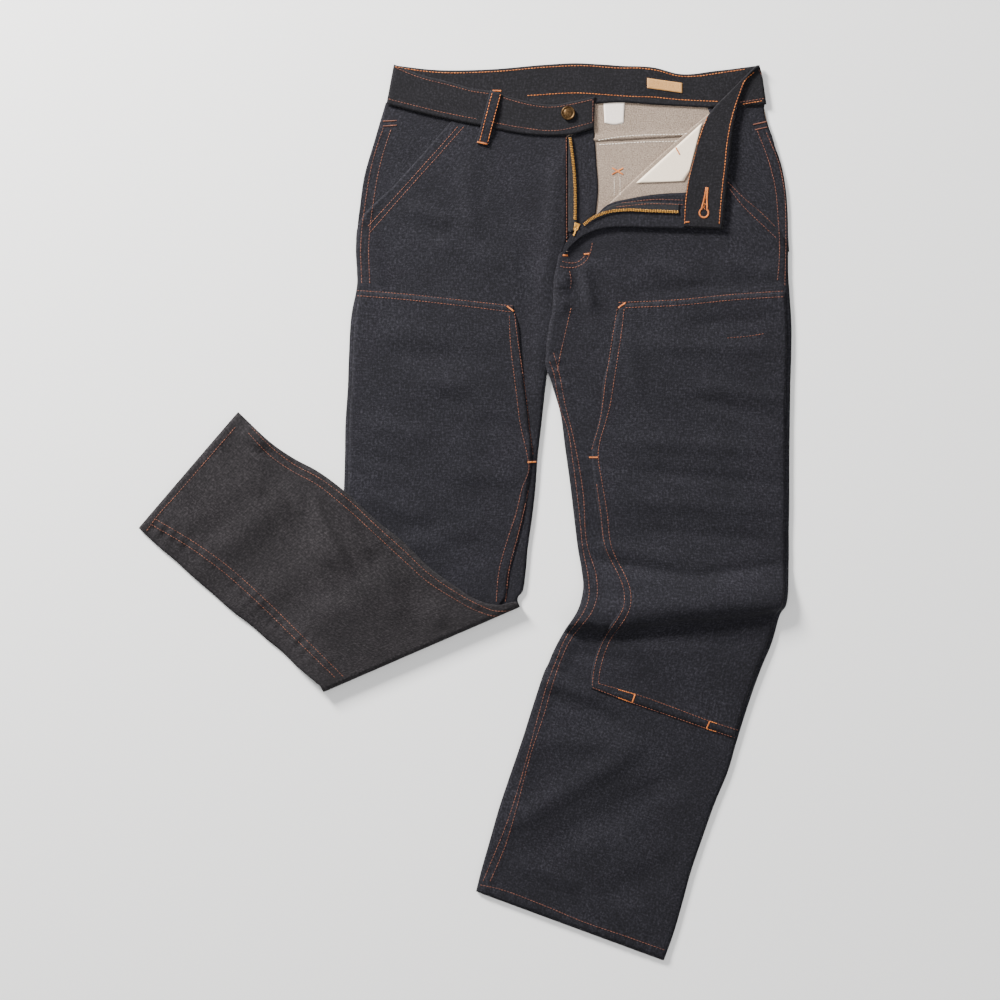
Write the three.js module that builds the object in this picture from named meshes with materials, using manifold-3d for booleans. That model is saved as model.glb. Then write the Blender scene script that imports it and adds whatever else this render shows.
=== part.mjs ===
// Denim carpenter pants, laid flat on a surface with the fly open.
// The right leg is folded up at the knee and the left front corner is turned back.
// Millimetres, +Z up, seen from above; right and left are the wearer's.
import * as THREE from "three";
import { mergeVertices } from "three/addons/utils/BufferGeometryUtils.js";
import Module from "manifold-3d";

const wasm = await Module();
wasm.setup();

// Cloth thicknesses and the gap left at seams and between layers
const denim = 1.6;
const patchCloth = 1.4;
const bandCloth = 2.4;
const thinCloth = 1.2;
const tapeCloth = 1.0;
const labelCloth = 0.8;
const layerGap = 0.3;
const edgeShare = 0.6; // an edge is thinner than the cloth, so it reads as rounded

// Heights of the middle of each layer above the surface that the pants lie on
const backMid = denim / 2;
const frontMid = denim + layerGap + denim / 2;
const frontTop = denim + layerGap + denim;
const patchLift = denim / 2 + layerGap + patchCloth / 2;
const kneeTurn = 3.1; // bend radius of the front panel where the leg folds up
const stackRise = 2 * kneeTurn + frontMid - backMid; // folded lower leg over the upper leg
const stackFall = 67; // length over which the lower leg comes down beside the upper one
const backSlack = 2.5; // a front panel may stand this far off its back panel
const flapTurn = 1.3; // bend radius where the front corner is turned back
const flapTop = frontMid + 2 * flapTurn + denim / 2;
const bandMid = bandCloth / 2;
const bandFrontMid = bandCloth + layerGap + bandCloth / 2;
const bandFrontTop = bandFrontMid + bandCloth / 2;
const bandTurn = 1.9;

// Hard pieces
const button = { x: 123.6, y: 477.6, radius: 8.5, height: 3.4, shank: 4, stand: 0.8 };
const loop = { topX: 37, topY: 503, endX: 20.4, endY: 440.4, width: 14, cloth: 2 };
const slider = { x: 133.6, y: 341.4, turn: -0.3, width: 7, length: 9.6, height: 2 };
const pull = { length: 13, width: 4.6, neck: 3.4, plate: 0.8, pin: 0.7, hole: 1.1, lift: 1.1 };
const lug = { inside: 2, thick: 0.8, length: 2.4 };

// Rows across a panel. ax ay is one end, bx by the other; rise lifts the middle of the row,
// bow pushes it sideways, and patch is the share of the row where the knee patch ends.
const rightLegRows = [
  { ax: -130.8, ay: 318, bx: 122.4, by: 321.6, rise: 0.6 },
  { ax: -129.6, ay: 289.2, bx: 111.6, by: 292.8, rise: 0.8 },
  { ax: -130.2, ay: 266.4, bx: 109.2, by: 242.4, rise: 1, patch: 0.784 },
  { ax: -135.6, ay: 240, bx: 105.6, by: 224.4, rise: 1.4, patch: 0.826 },
  { ax: -139.2, ay: 187.2, bx: 101.4, by: 190.8, rise: 1.8, patch: 0.858 },
  { ax: -140.4, ay: 151.2, bx: 96.6, by: 151.2, rise: 2.4, patch: 0.891 },
  { ax: -143.4, ay: 104.4, bx: 91.8, by: 106.8, rise: 1.6, patch: 0.934 },
  { ax: -144, ay: 66, bx: 87, by: 63.6, rise: 2, patch: 0.97 },
  { ax: -145.2, ay: 27.6, bx: 84.6, by: 30, rise: 1.2, patch: 0.96 },
  { ax: -148.8, ay: -21.6, bx: 80.4, by: -7.2, rise: 0.8, patch: 0.953 },
  { ax: -153.6, ay: -70.8, bx: 75.6, by: -40.8, rise: 0.5, patch: 0.937 },
  { ax: -159.6, ay: -127.2, bx: 72.6, by: -73.2, rise: 0.2, patch: 0.91 },
  { ax: -164.4, ay: -171.6, bx: 69.6, by: -94, rise: 0, patch: 0.91 },
];
const kneeFold = { ax: -169.2, ay: -216, bx: 66, by: -114, rise: 0, patch: 0.91 };
const rightShinRows = [
  { ax: -178.2, ay: -204, bx: 42, by: -111, rise: 0, patch: 0.9 },
  { ax: -199.2, ay: -186.6, bx: 14.4, by: -105, rise: 0.4, patch: 0.9 },
  { ax: -217.2, ay: -169.2, bx: -14.4, by: -87, rise: 1 },
  { ax: -236.4, ay: -153.6, bx: -44.4, by: -64.8, rise: 2.4 },
  { ax: -255.6, ay: -136.8, bx: -73.2, by: -36, rise: 0.8 },
  { ax: -276, ay: -121.2, bx: -102, by: -13.2, rise: 3.4 },
  { ax: -303.6, ay: -97.2, bx: -150, by: 30, rise: 1.2 },
  { ax: -326.4, ay: -77.4, bx: -178.8, by: 50.4, rise: 4 },
  { ax: -346.8, ay: -58.8, bx: -204, by: 63.6, rise: 1.6 },
  { ax: -366, ay: -42.6, bx: -229.2, by: 80.4, rise: 3 },
  { ax: -391.2, ay: -19.2, bx: -272, by: 120, rise: 1 },
];
const leftLegRows = [
  { ax: 111.3, ay: 267.6, bx: 387.6, by: 282, rise: 0.6 },
  { ax: 110.1, ay: 242.4, bx: 388.8, by: 265.8, rise: 0.8, patch: 0.27 },
  { ax: 106.5, ay: 224.4, bx: 391.2, by: 228, rise: 1.2, patch: 0.256 },
  { ax: 102.3, ay: 190.8, bx: 391.2, by: 190.8, rise: 1.8, patch: 0.253 },
  { ax: 103, ay: 160, bx: 390, by: 152.4, rise: 2.2, patch: 0.218 },
  { ax: 114, ay: 120, bx: 389.4, by: 110.4, rise: 1.6, patch: 0.175 },
  { ax: 120, ay: 76.8, bx: 388.8, by: 62.4, rise: 2, patch: 0.12 },
  { ax: 126, ay: 33.6, bx: 388.8, by: 16.8, rise: 2.6, patch: 0.11 },
  { ax: 131.4, ay: -12, bx: 388.2, by: -24, rise: 2, patch: 0.12 },
  { ax: 135.6, ay: -45.6, bx: 388.2, by: -52.8, rise: 3, patch: 0.125 },
  { ax: 139.8, ay: -69.6, bx: 387.6, by: -78, rise: 7, patch: 0.162 },
  { ax: 141.6, ay: -91.2, bx: 386.4, by: -97.2, rise: 12, patch: 0.19 },
  { ax: 136.8, ay: -112.8, bx: 384, by: -110.8, rise: 11, patch: 0.204 },
  { ax: 121.2, ay: -139.2, bx: 376.8, by: -124.8, rise: 3, patch: 0.2 },
  { ax: 112.8, ay: -153.6, bx: 368.4, by: -154.8, rise: 1.4, patch: 0.197 },
  { ax: 105.6, ay: -168, bx: 354, by: -189.6, rise: 3, patch: 0.203 },
  { ax: 99.6, ay: -182.4, bx: 339.6, by: -230.4, rise: 1.4, patch: 0.215 },
  { ax: 94.8, ay: -192, bx: 326.4, by: -272.4, rise: 2.4, patch: 0.238 },
  { ax: 82.8, ay: -228, bx: 315.6, by: -309.6, rise: 1.4 },
  { ax: 68.4, ay: -273.6, bx: 298.8, by: -350.4, rise: 2.6 },
  { ax: 54, ay: -315.6, bx: 284.4, by: -391.2, rise: 1.4 },
  { ax: 40.8, ay: -355.2, bx: 271.2, by: -429.6, rise: 2.4 },
  { ax: 28.8, ay: -397.2, bx: 260.4, by: -469.2, rise: 1.4 },
  { ax: 19.2, ay: -430.8, bx: 249.6, by: -506.4, rise: 1.6 },
  { ax: 13.2, ay: -454.8, bx: 238.2, by: -537.6, rise: 0.8 },
];

// Hips: fronts run from the pocket slant to the centre, backs from yoke to crotch
const frontRightHip = [
  { ax: -14.4, ay: 471, bx: 122.4, by: 451.6, rise: 0, bow: -3.4 },
  { ax: -42, ay: 439.2, bx: 122.4, by: 422.4, rise: 0, bow: -2 },
  { ax: -82.8, ay: 393.6, bx: 122.4, by: 380.4, rise: 0.3 },
  { ax: -124.8, ay: 342, bx: 122.4, by: 340.8, rise: 0.5 },
];
const frontLeftHip = [
  { ax: 118.8, ay: 309.6, bx: 321.6, by: 397.2, rise: 0 },
  { ax: 115.6, ay: 301.2, bx: 376.8, by: 330, rise: 0 },
  { ax: 112.4, ay: 290.4, bx: 386.4, by: 300, rise: 0.4 },
];
const backRightHip = [
  { ax: -104, ay: 457.2, bx: 132.6, by: 445.8, rise: 0 },
  { ax: -117.6, ay: 412, bx: 132.6, by: 412, rise: 0 },
  { ax: -126, ay: 367.2, bx: 130.8, by: 370, rise: 0 },
  { ax: -129.5, ay: 335, bx: 124, by: 325, rise: 0 },
  { ax: -130.4, ay: 308, bx: 115, by: 299, rise: 0 },
];
const backLeftHip = [
  { ax: 133.4, ay: 445.8, bx: 364.5, by: 458.4, rise: 0 },
  { ax: 133.4, ay: 412, bx: 380.5, by: 412, rise: 0 },
  { ax: 131.6, ay: 370, bx: 386.4, by: 368, rise: 0 },
  { ax: 124.8, ay: 325, bx: 387.6, by: 330, rise: 0 },
  { ax: 115.8, ay: 299, bx: 387.6, by: 303, rise: 0 },
];

// The turned-back corner of the left front, from its far corner to its fold
const flapRows = [
  { ax: 258, ay: 340.8, bx: 263.6, by: 346.8 },
  { ax: 228, ay: 341.4, bx: 267, by: 379.2 },
  { ax: 194.4, ay: 343.2, bx: 273, by: 408 },
  { ax: 162, ay: 343.2, bx: 280.2, by: 434.4 },
  { ax: 138, ay: 334.2, bx: 288.6, by: 463.2 },
];
const flapFold = { ax: 122.4, ay: 318, bx: 296.4, by: 481.2, bow: 4 };

const facingRightRows = [
  { ax: -93, ay: 490.6, bx: -15.6, by: 471.6, bow: -2 },
  { ax: -105.6, ay: 448, bx: -43.6, by: 439.8 },
  { ax: -118.8, ay: 402, bx: -84.4, by: 393.6 },
  { ax: -127.2, ay: 346, bx: -125.8, by: 343.6 },
];
const facingLeftRows = [
  { ax: 303, ay: 479.5, bx: 358.6, by: 487.5 },
  { ax: 310, ay: 441, bx: 370, by: 443 },
  { ax: 323.6, ay: 398.6, bx: 383, by: 394 },
  { ax: 351.4, ay: 364.4, bx: 386, by: 366 },
  { ax: 378.8, ay: 331.8, bx: 387, by: 334 },
];
const yokeRightRows = [
  { ax: -92.6, ay: 492.4, bx: -103.2, by: 460 },
  { ax: -40.8, ay: 489, bx: -47, by: 455.6 },
  { ax: 31.2, ay: 491.4, bx: 30, by: 452 },
  { ax: 90, ay: 496.8, bx: 90, by: 449 },
  { ax: 132.6, ay: 498.4, bx: 132.6, by: 447.4 },
];
const yokeLeftRows = [
  { ax: 133.4, ay: 498.4, bx: 133.4, by: 447.4 },
  { ax: 186, ay: 495.8, bx: 186, by: 450.4 },
  { ax: 228, ay: 493.2, bx: 228, by: 452.6 },
  { ax: 255.6, ay: 491.4, bx: 257, by: 454.4 },
  { ax: 307.2, ay: 489, bx: 311, by: 457.2 },
  { ax: 357.4, ay: 490, bx: 364.6, by: 460.4 },
];

// Waistband, a at the top edge and b at the seam
const bandBackRows = [
  { ax: -84, ay: 535.6, bx: -91.6, by: 493.2 },
  { ax: -38.4, ay: 530.4, bx: -40.8, by: 489.6 },
  { ax: 32.4, ay: 531, bx: 31.2, by: 492 },
  { ax: 96, ay: 536.4, bx: 90, by: 497.4 },
  { ax: 138, ay: 538.2, bx: 141.6, by: 499 },
  { ax: 186, ay: 535.2, bx: 186, by: 496.4 },
  { ax: 228, ay: 532.8, bx: 228, by: 493.8 },
  { ax: 255.6, ay: 525.6, bx: 255.6, by: 492 },
  { ax: 302.4, ay: 529.2, bx: 307.2, by: 489.6 },
  { ax: 350.4, ay: 535.2, bx: 357.6, by: 490.8 },
];
const bandRightRows = [
  { ax: -85.2, ay: 536.4, bx: -93.6, by: 492 },
  { ax: -54, ay: 524.4, bx: -60, by: 483 },
  { ax: -16.8, ay: 514.8, bx: -21.6, by: 474 },
  { ax: 8.4, ay: 507.6, bx: 4, by: 468.6 },
  { ax: 32.4, ay: 504, bx: 27, by: 464.4 },
  { ax: 55.2, ay: 496.8, bx: 52, by: 459 },
  { ax: 106.8, ay: 488.4, bx: 104, by: 453.8 },
  { ax: 126, ay: 491.4, bx: 126, by: 454.8 },
  { ax: 156, ay: 498, bx: 154.8, by: 463.2 },
];
const bandLeftSide = [
  { ax: 353.4, ay: 536.2, bx: 361, by: 491.4 },
  { ax: 352.4, ay: 535.4, bx: 332, by: 489 },
];
const bandLeftFold = { ax: 350.4, ay: 534, bx: 301.2, by: 486 };
const bandLeftRows = [
  { ax: 339, ay: 521.4, bx: 291.6, by: 474 },
  { ax: 328.3, ay: 495.6, bx: 282, by: 453.6 },
  { ax: 322.8, ay: 468, bx: 276, by: 428.4 },
  { ax: 319.7, ay: 446.4, bx: 271.2, by: 410.4 },
  { ax: 316.2, ay: 416.4, bx: 265.8, by: 390 },
  { ax: 313.2, ay: 380.4, bx: 264, by: 368.4 },
  { ax: 308.4, ay: 338.4, bx: 262.2, by: 340.8 },
];

// Small cloth pieces at the fly and the back
const shieldRows = [
  { ax: 122.9, ay: 450, bx: 154.8, by: 460.6 },
  { ax: 122.9, ay: 422, bx: 157.4, by: 422.4 },
  { ax: 122.9, ay: 380, bx: 159.6, by: 390 },
  { ax: 122.9, ay: 323, bx: 157, by: 358 },
];
const flyFacingRows = [
  { ax: 150, ay: 341.4, bx: 152, by: 350 },
  { ax: 166, ay: 344.6, bx: 168, by: 366 },
  { ax: 196, ay: 344.6, bx: 199.2, by: 375.6 },
  { ax: 228, ay: 342.8, bx: 229.2, by: 380.4 },
  { ax: 259.6, ay: 342.2, bx: 261, by: 382.4 },
];
const tapeRightRows = [
  { ax: 123.9, ay: 449, bx: 128, by: 450 },
  { ax: 123.9, ay: 416, bx: 131.4, by: 416 },
  { ax: 123.9, ay: 386, bx: 134, by: 386 },
  { ax: 123.9, ay: 335.6, bx: 134, by: 336.6 },
];
const tapeLeftRows = [
  { ax: 153, ay: 348.6, bx: 154, by: 352.4 },
  { ax: 179, ay: 357.6, bx: 176, by: 367 },
  { ax: 210, ay: 360, bx: 209, by: 371 },
  { ax: 256, ay: 357, bx: 257, by: 369 },
];
const pocketBagRows = [
  { ax: 205, ay: 394, bx: 284, by: 466 },
  { ax: 233, ay: 395, bx: 276.4, by: 438 },
  { ax: 262, ay: 396.4, bx: 268, by: 407 },
];
const labelRows = [
  { ax: 218.4, ay: 520.2, bx: 218.4, by: 508.2 },
  { ax: 260.4, ay: 514.2, bx: 260.4, by: 502.2 },
];
const careRows = [
  { ax: 166, ay: 494.6, bx: 167.4, by: 466.6 },
  { ax: 178.8, ay: 494, bx: 178.8, by: 464.4 },
  { ax: 191.6, ay: 493.4, bx: 190.4, by: 466.6 },
];
// Belt loop: along is the share of its length, lift its middle above the surface
const loopRows = [
  { along: 0, lift: 6.5 },
  { along: 0.12, lift: 6.7 },
  { along: 0.3, lift: 8 },
  { along: 0.5, lift: 8.2 },
  { along: 0.66, lift: 7.6 },
  { along: 0.78, lift: 6.4 },
  { along: 0.9, lift: 5.2 },
  { along: 1, lift: 4.9 },
];

// Materials
const finish = (color, roughness, metalness = 0) =>
  new THREE.MeshStandardMaterial({ color, roughness, metalness });
const denimOutside = finish(0x2c2f39, 0.9);
const denimInside = finish(0xada69c, 0.92);
const bandDenim = finish(0x2a2c35, 0.9);
const pocketCloth = finish(0xe9dccb, 0.9);
const zipTape = finish(0x24262b, 0.85);
const brass = finish(0xc9a35a, 0.32, 1);
const oldBrass = finish(0x8a6f45, 0.42, 1);
const tanLabel = finish(0x9a7350, 0.8);
const whiteLabel = finish(0xf1efe9, 0.7);

// How far the folded lower leg stands on the upper leg at a point: 1 on it, 0 beside it
function onUpperLeg(x, y) {
  const seamX = -145.2 - (27.6 - y) * 0.0985;
  const share = THREE.MathUtils.clamp((x - seamX + stackFall) / stackFall, 0, 1);
  return share * share * (3 - 2 * share);
}

// A row's rise is full in the middle and small at both edges of the panel
function swell(share) {
  return 0.3 + 0.7 * Math.pow(Math.sin(Math.PI * share), 0.7);
}

// One row of points across a panel, between two shares of the row
function rowPoints(row, columns, layer, from = 0, to = 1) {
  const side = new THREE.Vector2(row.by - row.ay, row.ax - row.bx).normalize();
  const rise = layer.slack ? Math.max(0, (row.rise ?? 0) - layer.slack) : (row.rise ?? 0);
  return Array.from({ length: columns + 1 }, (_, i) => {
    const share = from + ((to - from) * i) / columns;
    const bow = -4 * (row.bow ?? 0) * share * (1 - share);
    const x = THREE.MathUtils.lerp(row.ax, row.bx, share) + bow * side.x;
    const y = THREE.MathUtils.lerp(row.ay, row.by, share) + bow * side.y;
    const stack = layer.onLeg ? stackRise * onUpperLeg(x, y) : 0;
    return new THREE.Vector3(x, y, layer.mid + rise * swell(share) + stack);
  });
}

// Rows that turn a sheet over along a fold line. reach is how far the fold's tip
// lies past the turn's axis, and outward is the side that the tip points to.
function turnRows(fold, columns, { low, high, reach, outward, steps = 6 }, from = 0, to = 1) {
  const radius = (high - low) / 2;
  return Array.from({ length: steps + 1 }, (_, i) => {
    const angle = (Math.PI * i) / steps;
    const out = radius * Math.sin(angle) - reach;
    const layer = { mid: low + radius * (1 - Math.cos(angle)) };
    return rowPoints(fold, columns, layer, from, to).map((p) =>
      p.add(new THREE.Vector3(outward.x * out, outward.y * out, 0)),
    );
  });
}

// Unit normals of a grid of points, on the side of row direction times column direction
function gridNormals(rows) {
  const last = rows.length - 1;
  const end = rows[0].length - 1;
  return rows.map((row, i) =>
    row.map((_, j) => {
      const down = rows[Math.min(i + 1, last)][j].clone().sub(rows[Math.max(i - 1, 0)][j]);
      const across = row[Math.min(j + 1, end)].clone().sub(row[Math.max(j - 1, 0)]);
      return down.cross(across).normalize();
    }),
  );
}

// The grid moved along its normals
function movedOut(rows, distance) {
  const normals = gridNormals(rows);
  return rows.map((row, i) => row.map((p, j) => p.clone().addScaledVector(normals[i][j], distance)));
}

// A closed wall of cloth about a grid of middle points
function clothWall(rows, thickness) {
  const normals = gridNormals(rows);
  const columns = rows[0].length;
  const count = rows.length * columns;
  const points = [];
  for (const side of [1, -1]) {
    rows.forEach((row, i) =>
      row.forEach((p, j) => {
        const edge = i === 0 || j === 0 || i === rows.length - 1 || j === columns - 1;
        const half = (side * thickness * (edge ? edgeShare : 1)) / 2;
        points.push(...p.clone().addScaledVector(normals[i][j], half).toArray());
      }),
    );
  }
  const faces = [];
  const openEdges = new Map();
  const face = (a, b, c) => {
    faces.push(a, b, c, a + count, c + count, b + count);
    for (const [m, n] of [[a, b], [b, c], [c, a]]) {
      if (!openEdges.delete(n + " " + m)) openEdges.set(m + " " + n, [m, n]);
    }
  };
  for (let i = 0; i < rows.length - 1; i++) {
    for (let j = 0; j < columns - 1; j++) {
      const a = i * columns + j;
      face(a, a + columns, a + 1);
      face(a + 1, a + columns, a + columns + 1);
    }
  }
  for (const [m, n] of openEdges.values()) faces.push(n, m, m + count, n, m + count, n + count);
  const geometry = new THREE.BufferGeometry();
  geometry.setAttribute("position", new THREE.Float32BufferAttribute(points, 3));
  geometry.setIndex(faces);
  geometry.computeVertexNormals();
  return geometry;
}

const pants = new THREE.Group();
function add(name, geometry, material, parent = pants) {
  const mesh = new THREE.Mesh(geometry, material);
  mesh.name = name;
  parent.add(mesh);
  return mesh;
}

// A plain flat piece from a short table of rows
function flatPiece(name, table, columns, mid, thickness, material) {
  const rows = table.map((row) => rowPoints(row, columns, { mid }));
  add(name, clothWall(rows, thickness), material);
}

// Right leg: upper leg, the turn at the knee, then the lower leg back over it
const legColumns = 9;
const kneeSide = new THREE.Vector2(kneeFold.by - kneeFold.ay, kneeFold.ax - kneeFold.bx).normalize();
const kneeReach = kneeTurn + 2 * backMid + layerGap + denim / 2;
function rightLeg(upper, lowMid, highMid, lowSlack, highSlack, columns, from = () => [0, 1]) {
  const low = { mid: lowMid, slack: lowSlack };
  const high = { mid: highMid - stackRise, slack: highSlack, onLeg: true };
  const turn = { low: lowMid, high: highMid, reach: kneeReach, outward: kneeSide };
  const shin = rightShinRows.filter((row) => from(row));
  return [
    ...upper.map((row) => rowPoints(row, columns, low, ...from(row))),
    ...turnRows(kneeFold, columns, turn, ...from(kneeFold)),
    ...shin.map((row) => rowPoints(row, columns, high, ...from(row))),
  ];
}
const frontRight = rightLeg(
  [...frontRightHip, ...rightLegRows],
  frontMid,
  frontMid + 2 * kneeTurn,
  0,
  backSlack,
  legColumns,
);
const backRight = rightLeg(
  [...backRightHip, ...rightLegRows.slice(1)],
  backMid,
  backMid + stackRise + frontMid - backMid,
  backSlack,
  0,
  legColumns,
);
add("front_right", clothWall(frontRight, denim), denimOutside);
add("back_right", clothWall(backRight, denim), denimOutside);

// Left leg, straight down to its hem
const leftFold = new THREE.Vector2(flapFold.ay - flapFold.by, flapFold.bx - flapFold.ax).normalize();
const flapMid = frontMid + 2 * flapTurn;
const flapTurnAt = { low: frontMid, high: flapMid, reach: flapTurn + denim / 2, outward: leftFold };
const frontLeft = [
  ...flapRows.map((row) => rowPoints(row, legColumns, { mid: flapMid })),
  ...turnRows(flapFold, legColumns, flapTurnAt).reverse(),
  ...[...frontLeftHip, ...leftLegRows].map((row) => rowPoints(row, legColumns, { mid: frontMid })),
];
const backLeft = [...backLeftHip, ...leftLegRows].map((row) =>
  rowPoints(row, legColumns, { mid: backMid, slack: backSlack }),
);
add("front_left", clothWall(frontLeft, denim), denimOutside);
add("back_left", clothWall(backLeft, denim), denimOutside);

// Knee patches, from the front panels' points moved out
const patchColumns = 7;
const seamShare = 0.02;
const patchRight = rightLeg(
  rightLegRows.filter((row) => row.patch),
  frontMid,
  frontMid + 2 * kneeTurn,
  0,
  backSlack,
  patchColumns,
  (row) => row.patch && [seamShare, row.patch],
);
add("knee_patch_right", clothWall(movedOut(patchRight, patchLift), patchCloth), denimOutside);
const patchLeft = leftLegRows
  .filter((row) => row.patch)
  .map((row) => rowPoints(row, patchColumns, { mid: frontMid }, row.patch, 1 - seamShare));
add("knee_patch_left", clothWall(movedOut(patchLeft, patchLift), patchCloth), denimOutside);

// Yokes, pocket facings and waistband
flatPiece("back_yoke_right", yokeRightRows, 3, backMid, denim, denimInside);
flatPiece("back_yoke_left", yokeLeftRows, 3, backMid, denim, denimInside);
const facingMid = denim + layerGap + thinCloth / 2;
flatPiece("pocket_facing_right", facingRightRows, 4, facingMid, thinCloth, denimOutside);
flatPiece("pocket_facing_left", facingLeftRows, 4, facingMid, thinCloth, denimOutside);
flatPiece("waistband_back", bandBackRows, 3, bandMid, bandCloth, bandDenim);
flatPiece("waistband_front_right", bandRightRows, 3, bandFrontMid, bandCloth, bandDenim);
const bandSide = new THREE.Vector2(
  bandLeftFold.by - bandLeftFold.ay,
  bandLeftFold.ax - bandLeftFold.bx,
).normalize();
const stripMid = bandFrontMid + 2 * bandTurn;
const bandLeft = [
  ...bandLeftSide.map((row) => rowPoints(row, 4, { mid: bandFrontMid })),
  ...turnRows(bandLeftFold, 4, {
    low: bandFrontMid,
    high: stripMid,
    reach: bandTurn + bandCloth / 2,
    outward: bandSide,
  }),
  ...bandLeftRows.map((row) => rowPoints(row, 4, { mid: stripMid })),
];
add("waistband_front_left", clothWall(bandLeft, bandCloth), bandDenim);

// Fly: shield and tape on the right, facing, tape and pocket bag on the turned-back corner
const shieldMid = denim + layerGap + thinCloth / 2;
flatPiece("fly_shield", shieldRows, 4, shieldMid, thinCloth, denimOutside);
const tapeRightMid = frontTop + layerGap + tapeCloth / 2;
flatPiece("zip_tape_right", tapeRightRows, 2, tapeRightMid, tapeCloth, zipTape);
const flyFacingMid = flapTop + layerGap + thinCloth / 2;
flatPiece("fly_facing", flyFacingRows, 4, flyFacingMid, thinCloth, denimOutside);
const tapeLeftMid = flyFacingMid + thinCloth / 2 + layerGap + tapeCloth / 2;
flatPiece("zip_tape_left", tapeLeftRows, 2, tapeLeftMid, tapeCloth, zipTape);
flatPiece("pocket_bag_left", pocketBagRows, 4, flapTop + layerGap + tapeCloth / 2, tapeCloth, pocketCloth);

// Labels
flatPiece("waistband_label", labelRows, 2, bandCloth + layerGap + labelCloth / 2, labelCloth, tanLabel);
flatPiece("care_label", careRows, 3, denim + layerGap + labelCloth / 2, labelCloth, whiteLabel);

// Belt loop, arched over the waistband seam
const loopAcross = new THREE.Vector2(loop.topY - loop.endY, loop.endX - loop.topX)
  .normalize()
  .multiplyScalar(loop.width / 2);
const beltLoop = loopRows.map(({ along, lift }) => {
  const x = THREE.MathUtils.lerp(loop.topX, loop.endX, along);
  const y = THREE.MathUtils.lerp(loop.topY, loop.endY, along);
  return [-1, 0, 1].map((side) => new THREE.Vector3(x + side * loopAcross.x, y + side * loopAcross.y, lift));
});
add("belt_loop_front", clothWall(beltLoop, loop.cloth), denimOutside);

// Shank button with a rolled rim and a low dome: radius and height along its section
const buttonProfile = [
  [0, 0],
  [button.shank, 0],
  [button.shank, button.stand],
  [button.radius - 0.8, button.stand],
  [button.radius, button.stand + 0.9],
  [button.radius - 0.3, button.stand + 2],
  [button.radius - 1.6, button.stand + 2.3],
  [button.radius - 2.6, button.stand + 1.9],
  [button.radius / 3, button.height],
  [0, button.height + 0.2],
].map(([r, z]) => new THREE.Vector2(r, z));
const buttonBody = new THREE.LatheGeometry(buttonProfile, 28).rotateX(Math.PI / 2);
add("button", buttonBody, oldBrass).position.set(button.x, button.y, bandFrontTop + layerGap);

// Zip slider with two lugs, and the pull that turns between them; both lie along the zip
const zip = new THREE.Group();
zip.position.set(slider.x, slider.y, tapeRightMid + tapeCloth / 2 + layerGap);
zip.rotation.z = slider.turn;
pants.add(zip);
const sliderOutline = new THREE.Shape(
  [
    [-0.5, -0.35],
    [-0.28, -0.5],
    [0.28, -0.5],
    [0.5, -0.35],
    [0.42, 0.5],
    [0.12, 0.5],
    [0, 0.4],
    [-0.12, 0.5],
    [-0.42, 0.5],
  ].map(([x, y]) => new THREE.Vector2(x * slider.width, y * slider.length)),
);
const pinHeight = slider.height + pull.lift;
const lugHeight = pinHeight + pull.pin + layerGap - slider.height / 2;

// Several closed geometries joined into one body
function joined(geometries) {
  const solids = geometries.map((geometry) => {
    const bare = geometry.clone();
    bare.deleteAttribute("normal");
    bare.deleteAttribute("uv");
    const merged = mergeVertices(bare, 1e-4);
    const corners = merged.index ? merged.index.array : [...Array(merged.attributes.position.count).keys()];
    return new wasm.Manifold(
      new wasm.Mesh({
        numProp: 3,
        vertProperties: new Float32Array(merged.attributes.position.array),
        triVerts: new Uint32Array(corners),
      }),
    );
  });
  const { vertProperties, triVerts } = solids.reduce((a, b) => a.add(b)).getMesh();
  const body = new THREE.BufferGeometry();
  body.setAttribute("position", new THREE.BufferAttribute(vertProperties, 3));
  body.setIndex(new THREE.BufferAttribute(triVerts, 1));
  return body.toNonIndexed();
}

const sliderBody = new THREE.ExtrudeGeometry(sliderOutline, { depth: slider.height, bevelEnabled: false });
const lugs = [-1, 1].map((side) =>
  new THREE.BoxGeometry(lug.thick, lug.length, lugHeight).translate(
    side * (lug.inside + lug.thick / 2),
    0,
    slider.height / 2 + lugHeight / 2,
  ),
);
add("zip_slider", joined([sliderBody, ...lugs]), brass, zip);

const pullOutline = new THREE.Shape();
pullOutline.moveTo(-pull.neck / 2, 0);
pullOutline.lineTo(-pull.width / 2, -pull.length / 3);
pullOutline.lineTo(-pull.width / 2, -pull.length + pull.width / 2);
pullOutline.absarc(0, -pull.length + pull.width / 2, pull.width / 2, Math.PI, 2 * Math.PI);
pullOutline.lineTo(pull.width / 2, -pull.length / 3);
pullOutline.lineTo(pull.neck / 2, 0);
const pullHole = new THREE.Path();
pullHole.absarc(0, -pull.length + pull.width / 2, pull.hole, 0, 2 * Math.PI, true);
pullOutline.holes.push(pullHole);
const pullPlate = new THREE.ExtrudeGeometry(pullOutline, {
  depth: pull.plate,
  bevelEnabled: false,
  curveSegments: 8,
}).translate(0, 0, -pull.plate / 2);
const pin = new THREE.CylinderGeometry(pull.pin, pull.pin, pull.neck, 14).rotateZ(Math.PI / 2);
add("zip_pull", joined([pullPlate, pin]), brass, zip).position.z = pinHeight;

export default pants;
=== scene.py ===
# Denim carpenter pants laid flat, fly open, one leg folded up at the knee.
# Plan tables are millimetres in the frame's X and Y; right and left are the wearer's.
import math

import bpy
import numpy as np
from mathutils import Matrix, Vector
from mathutils.bvhtree import BVHTree


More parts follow.
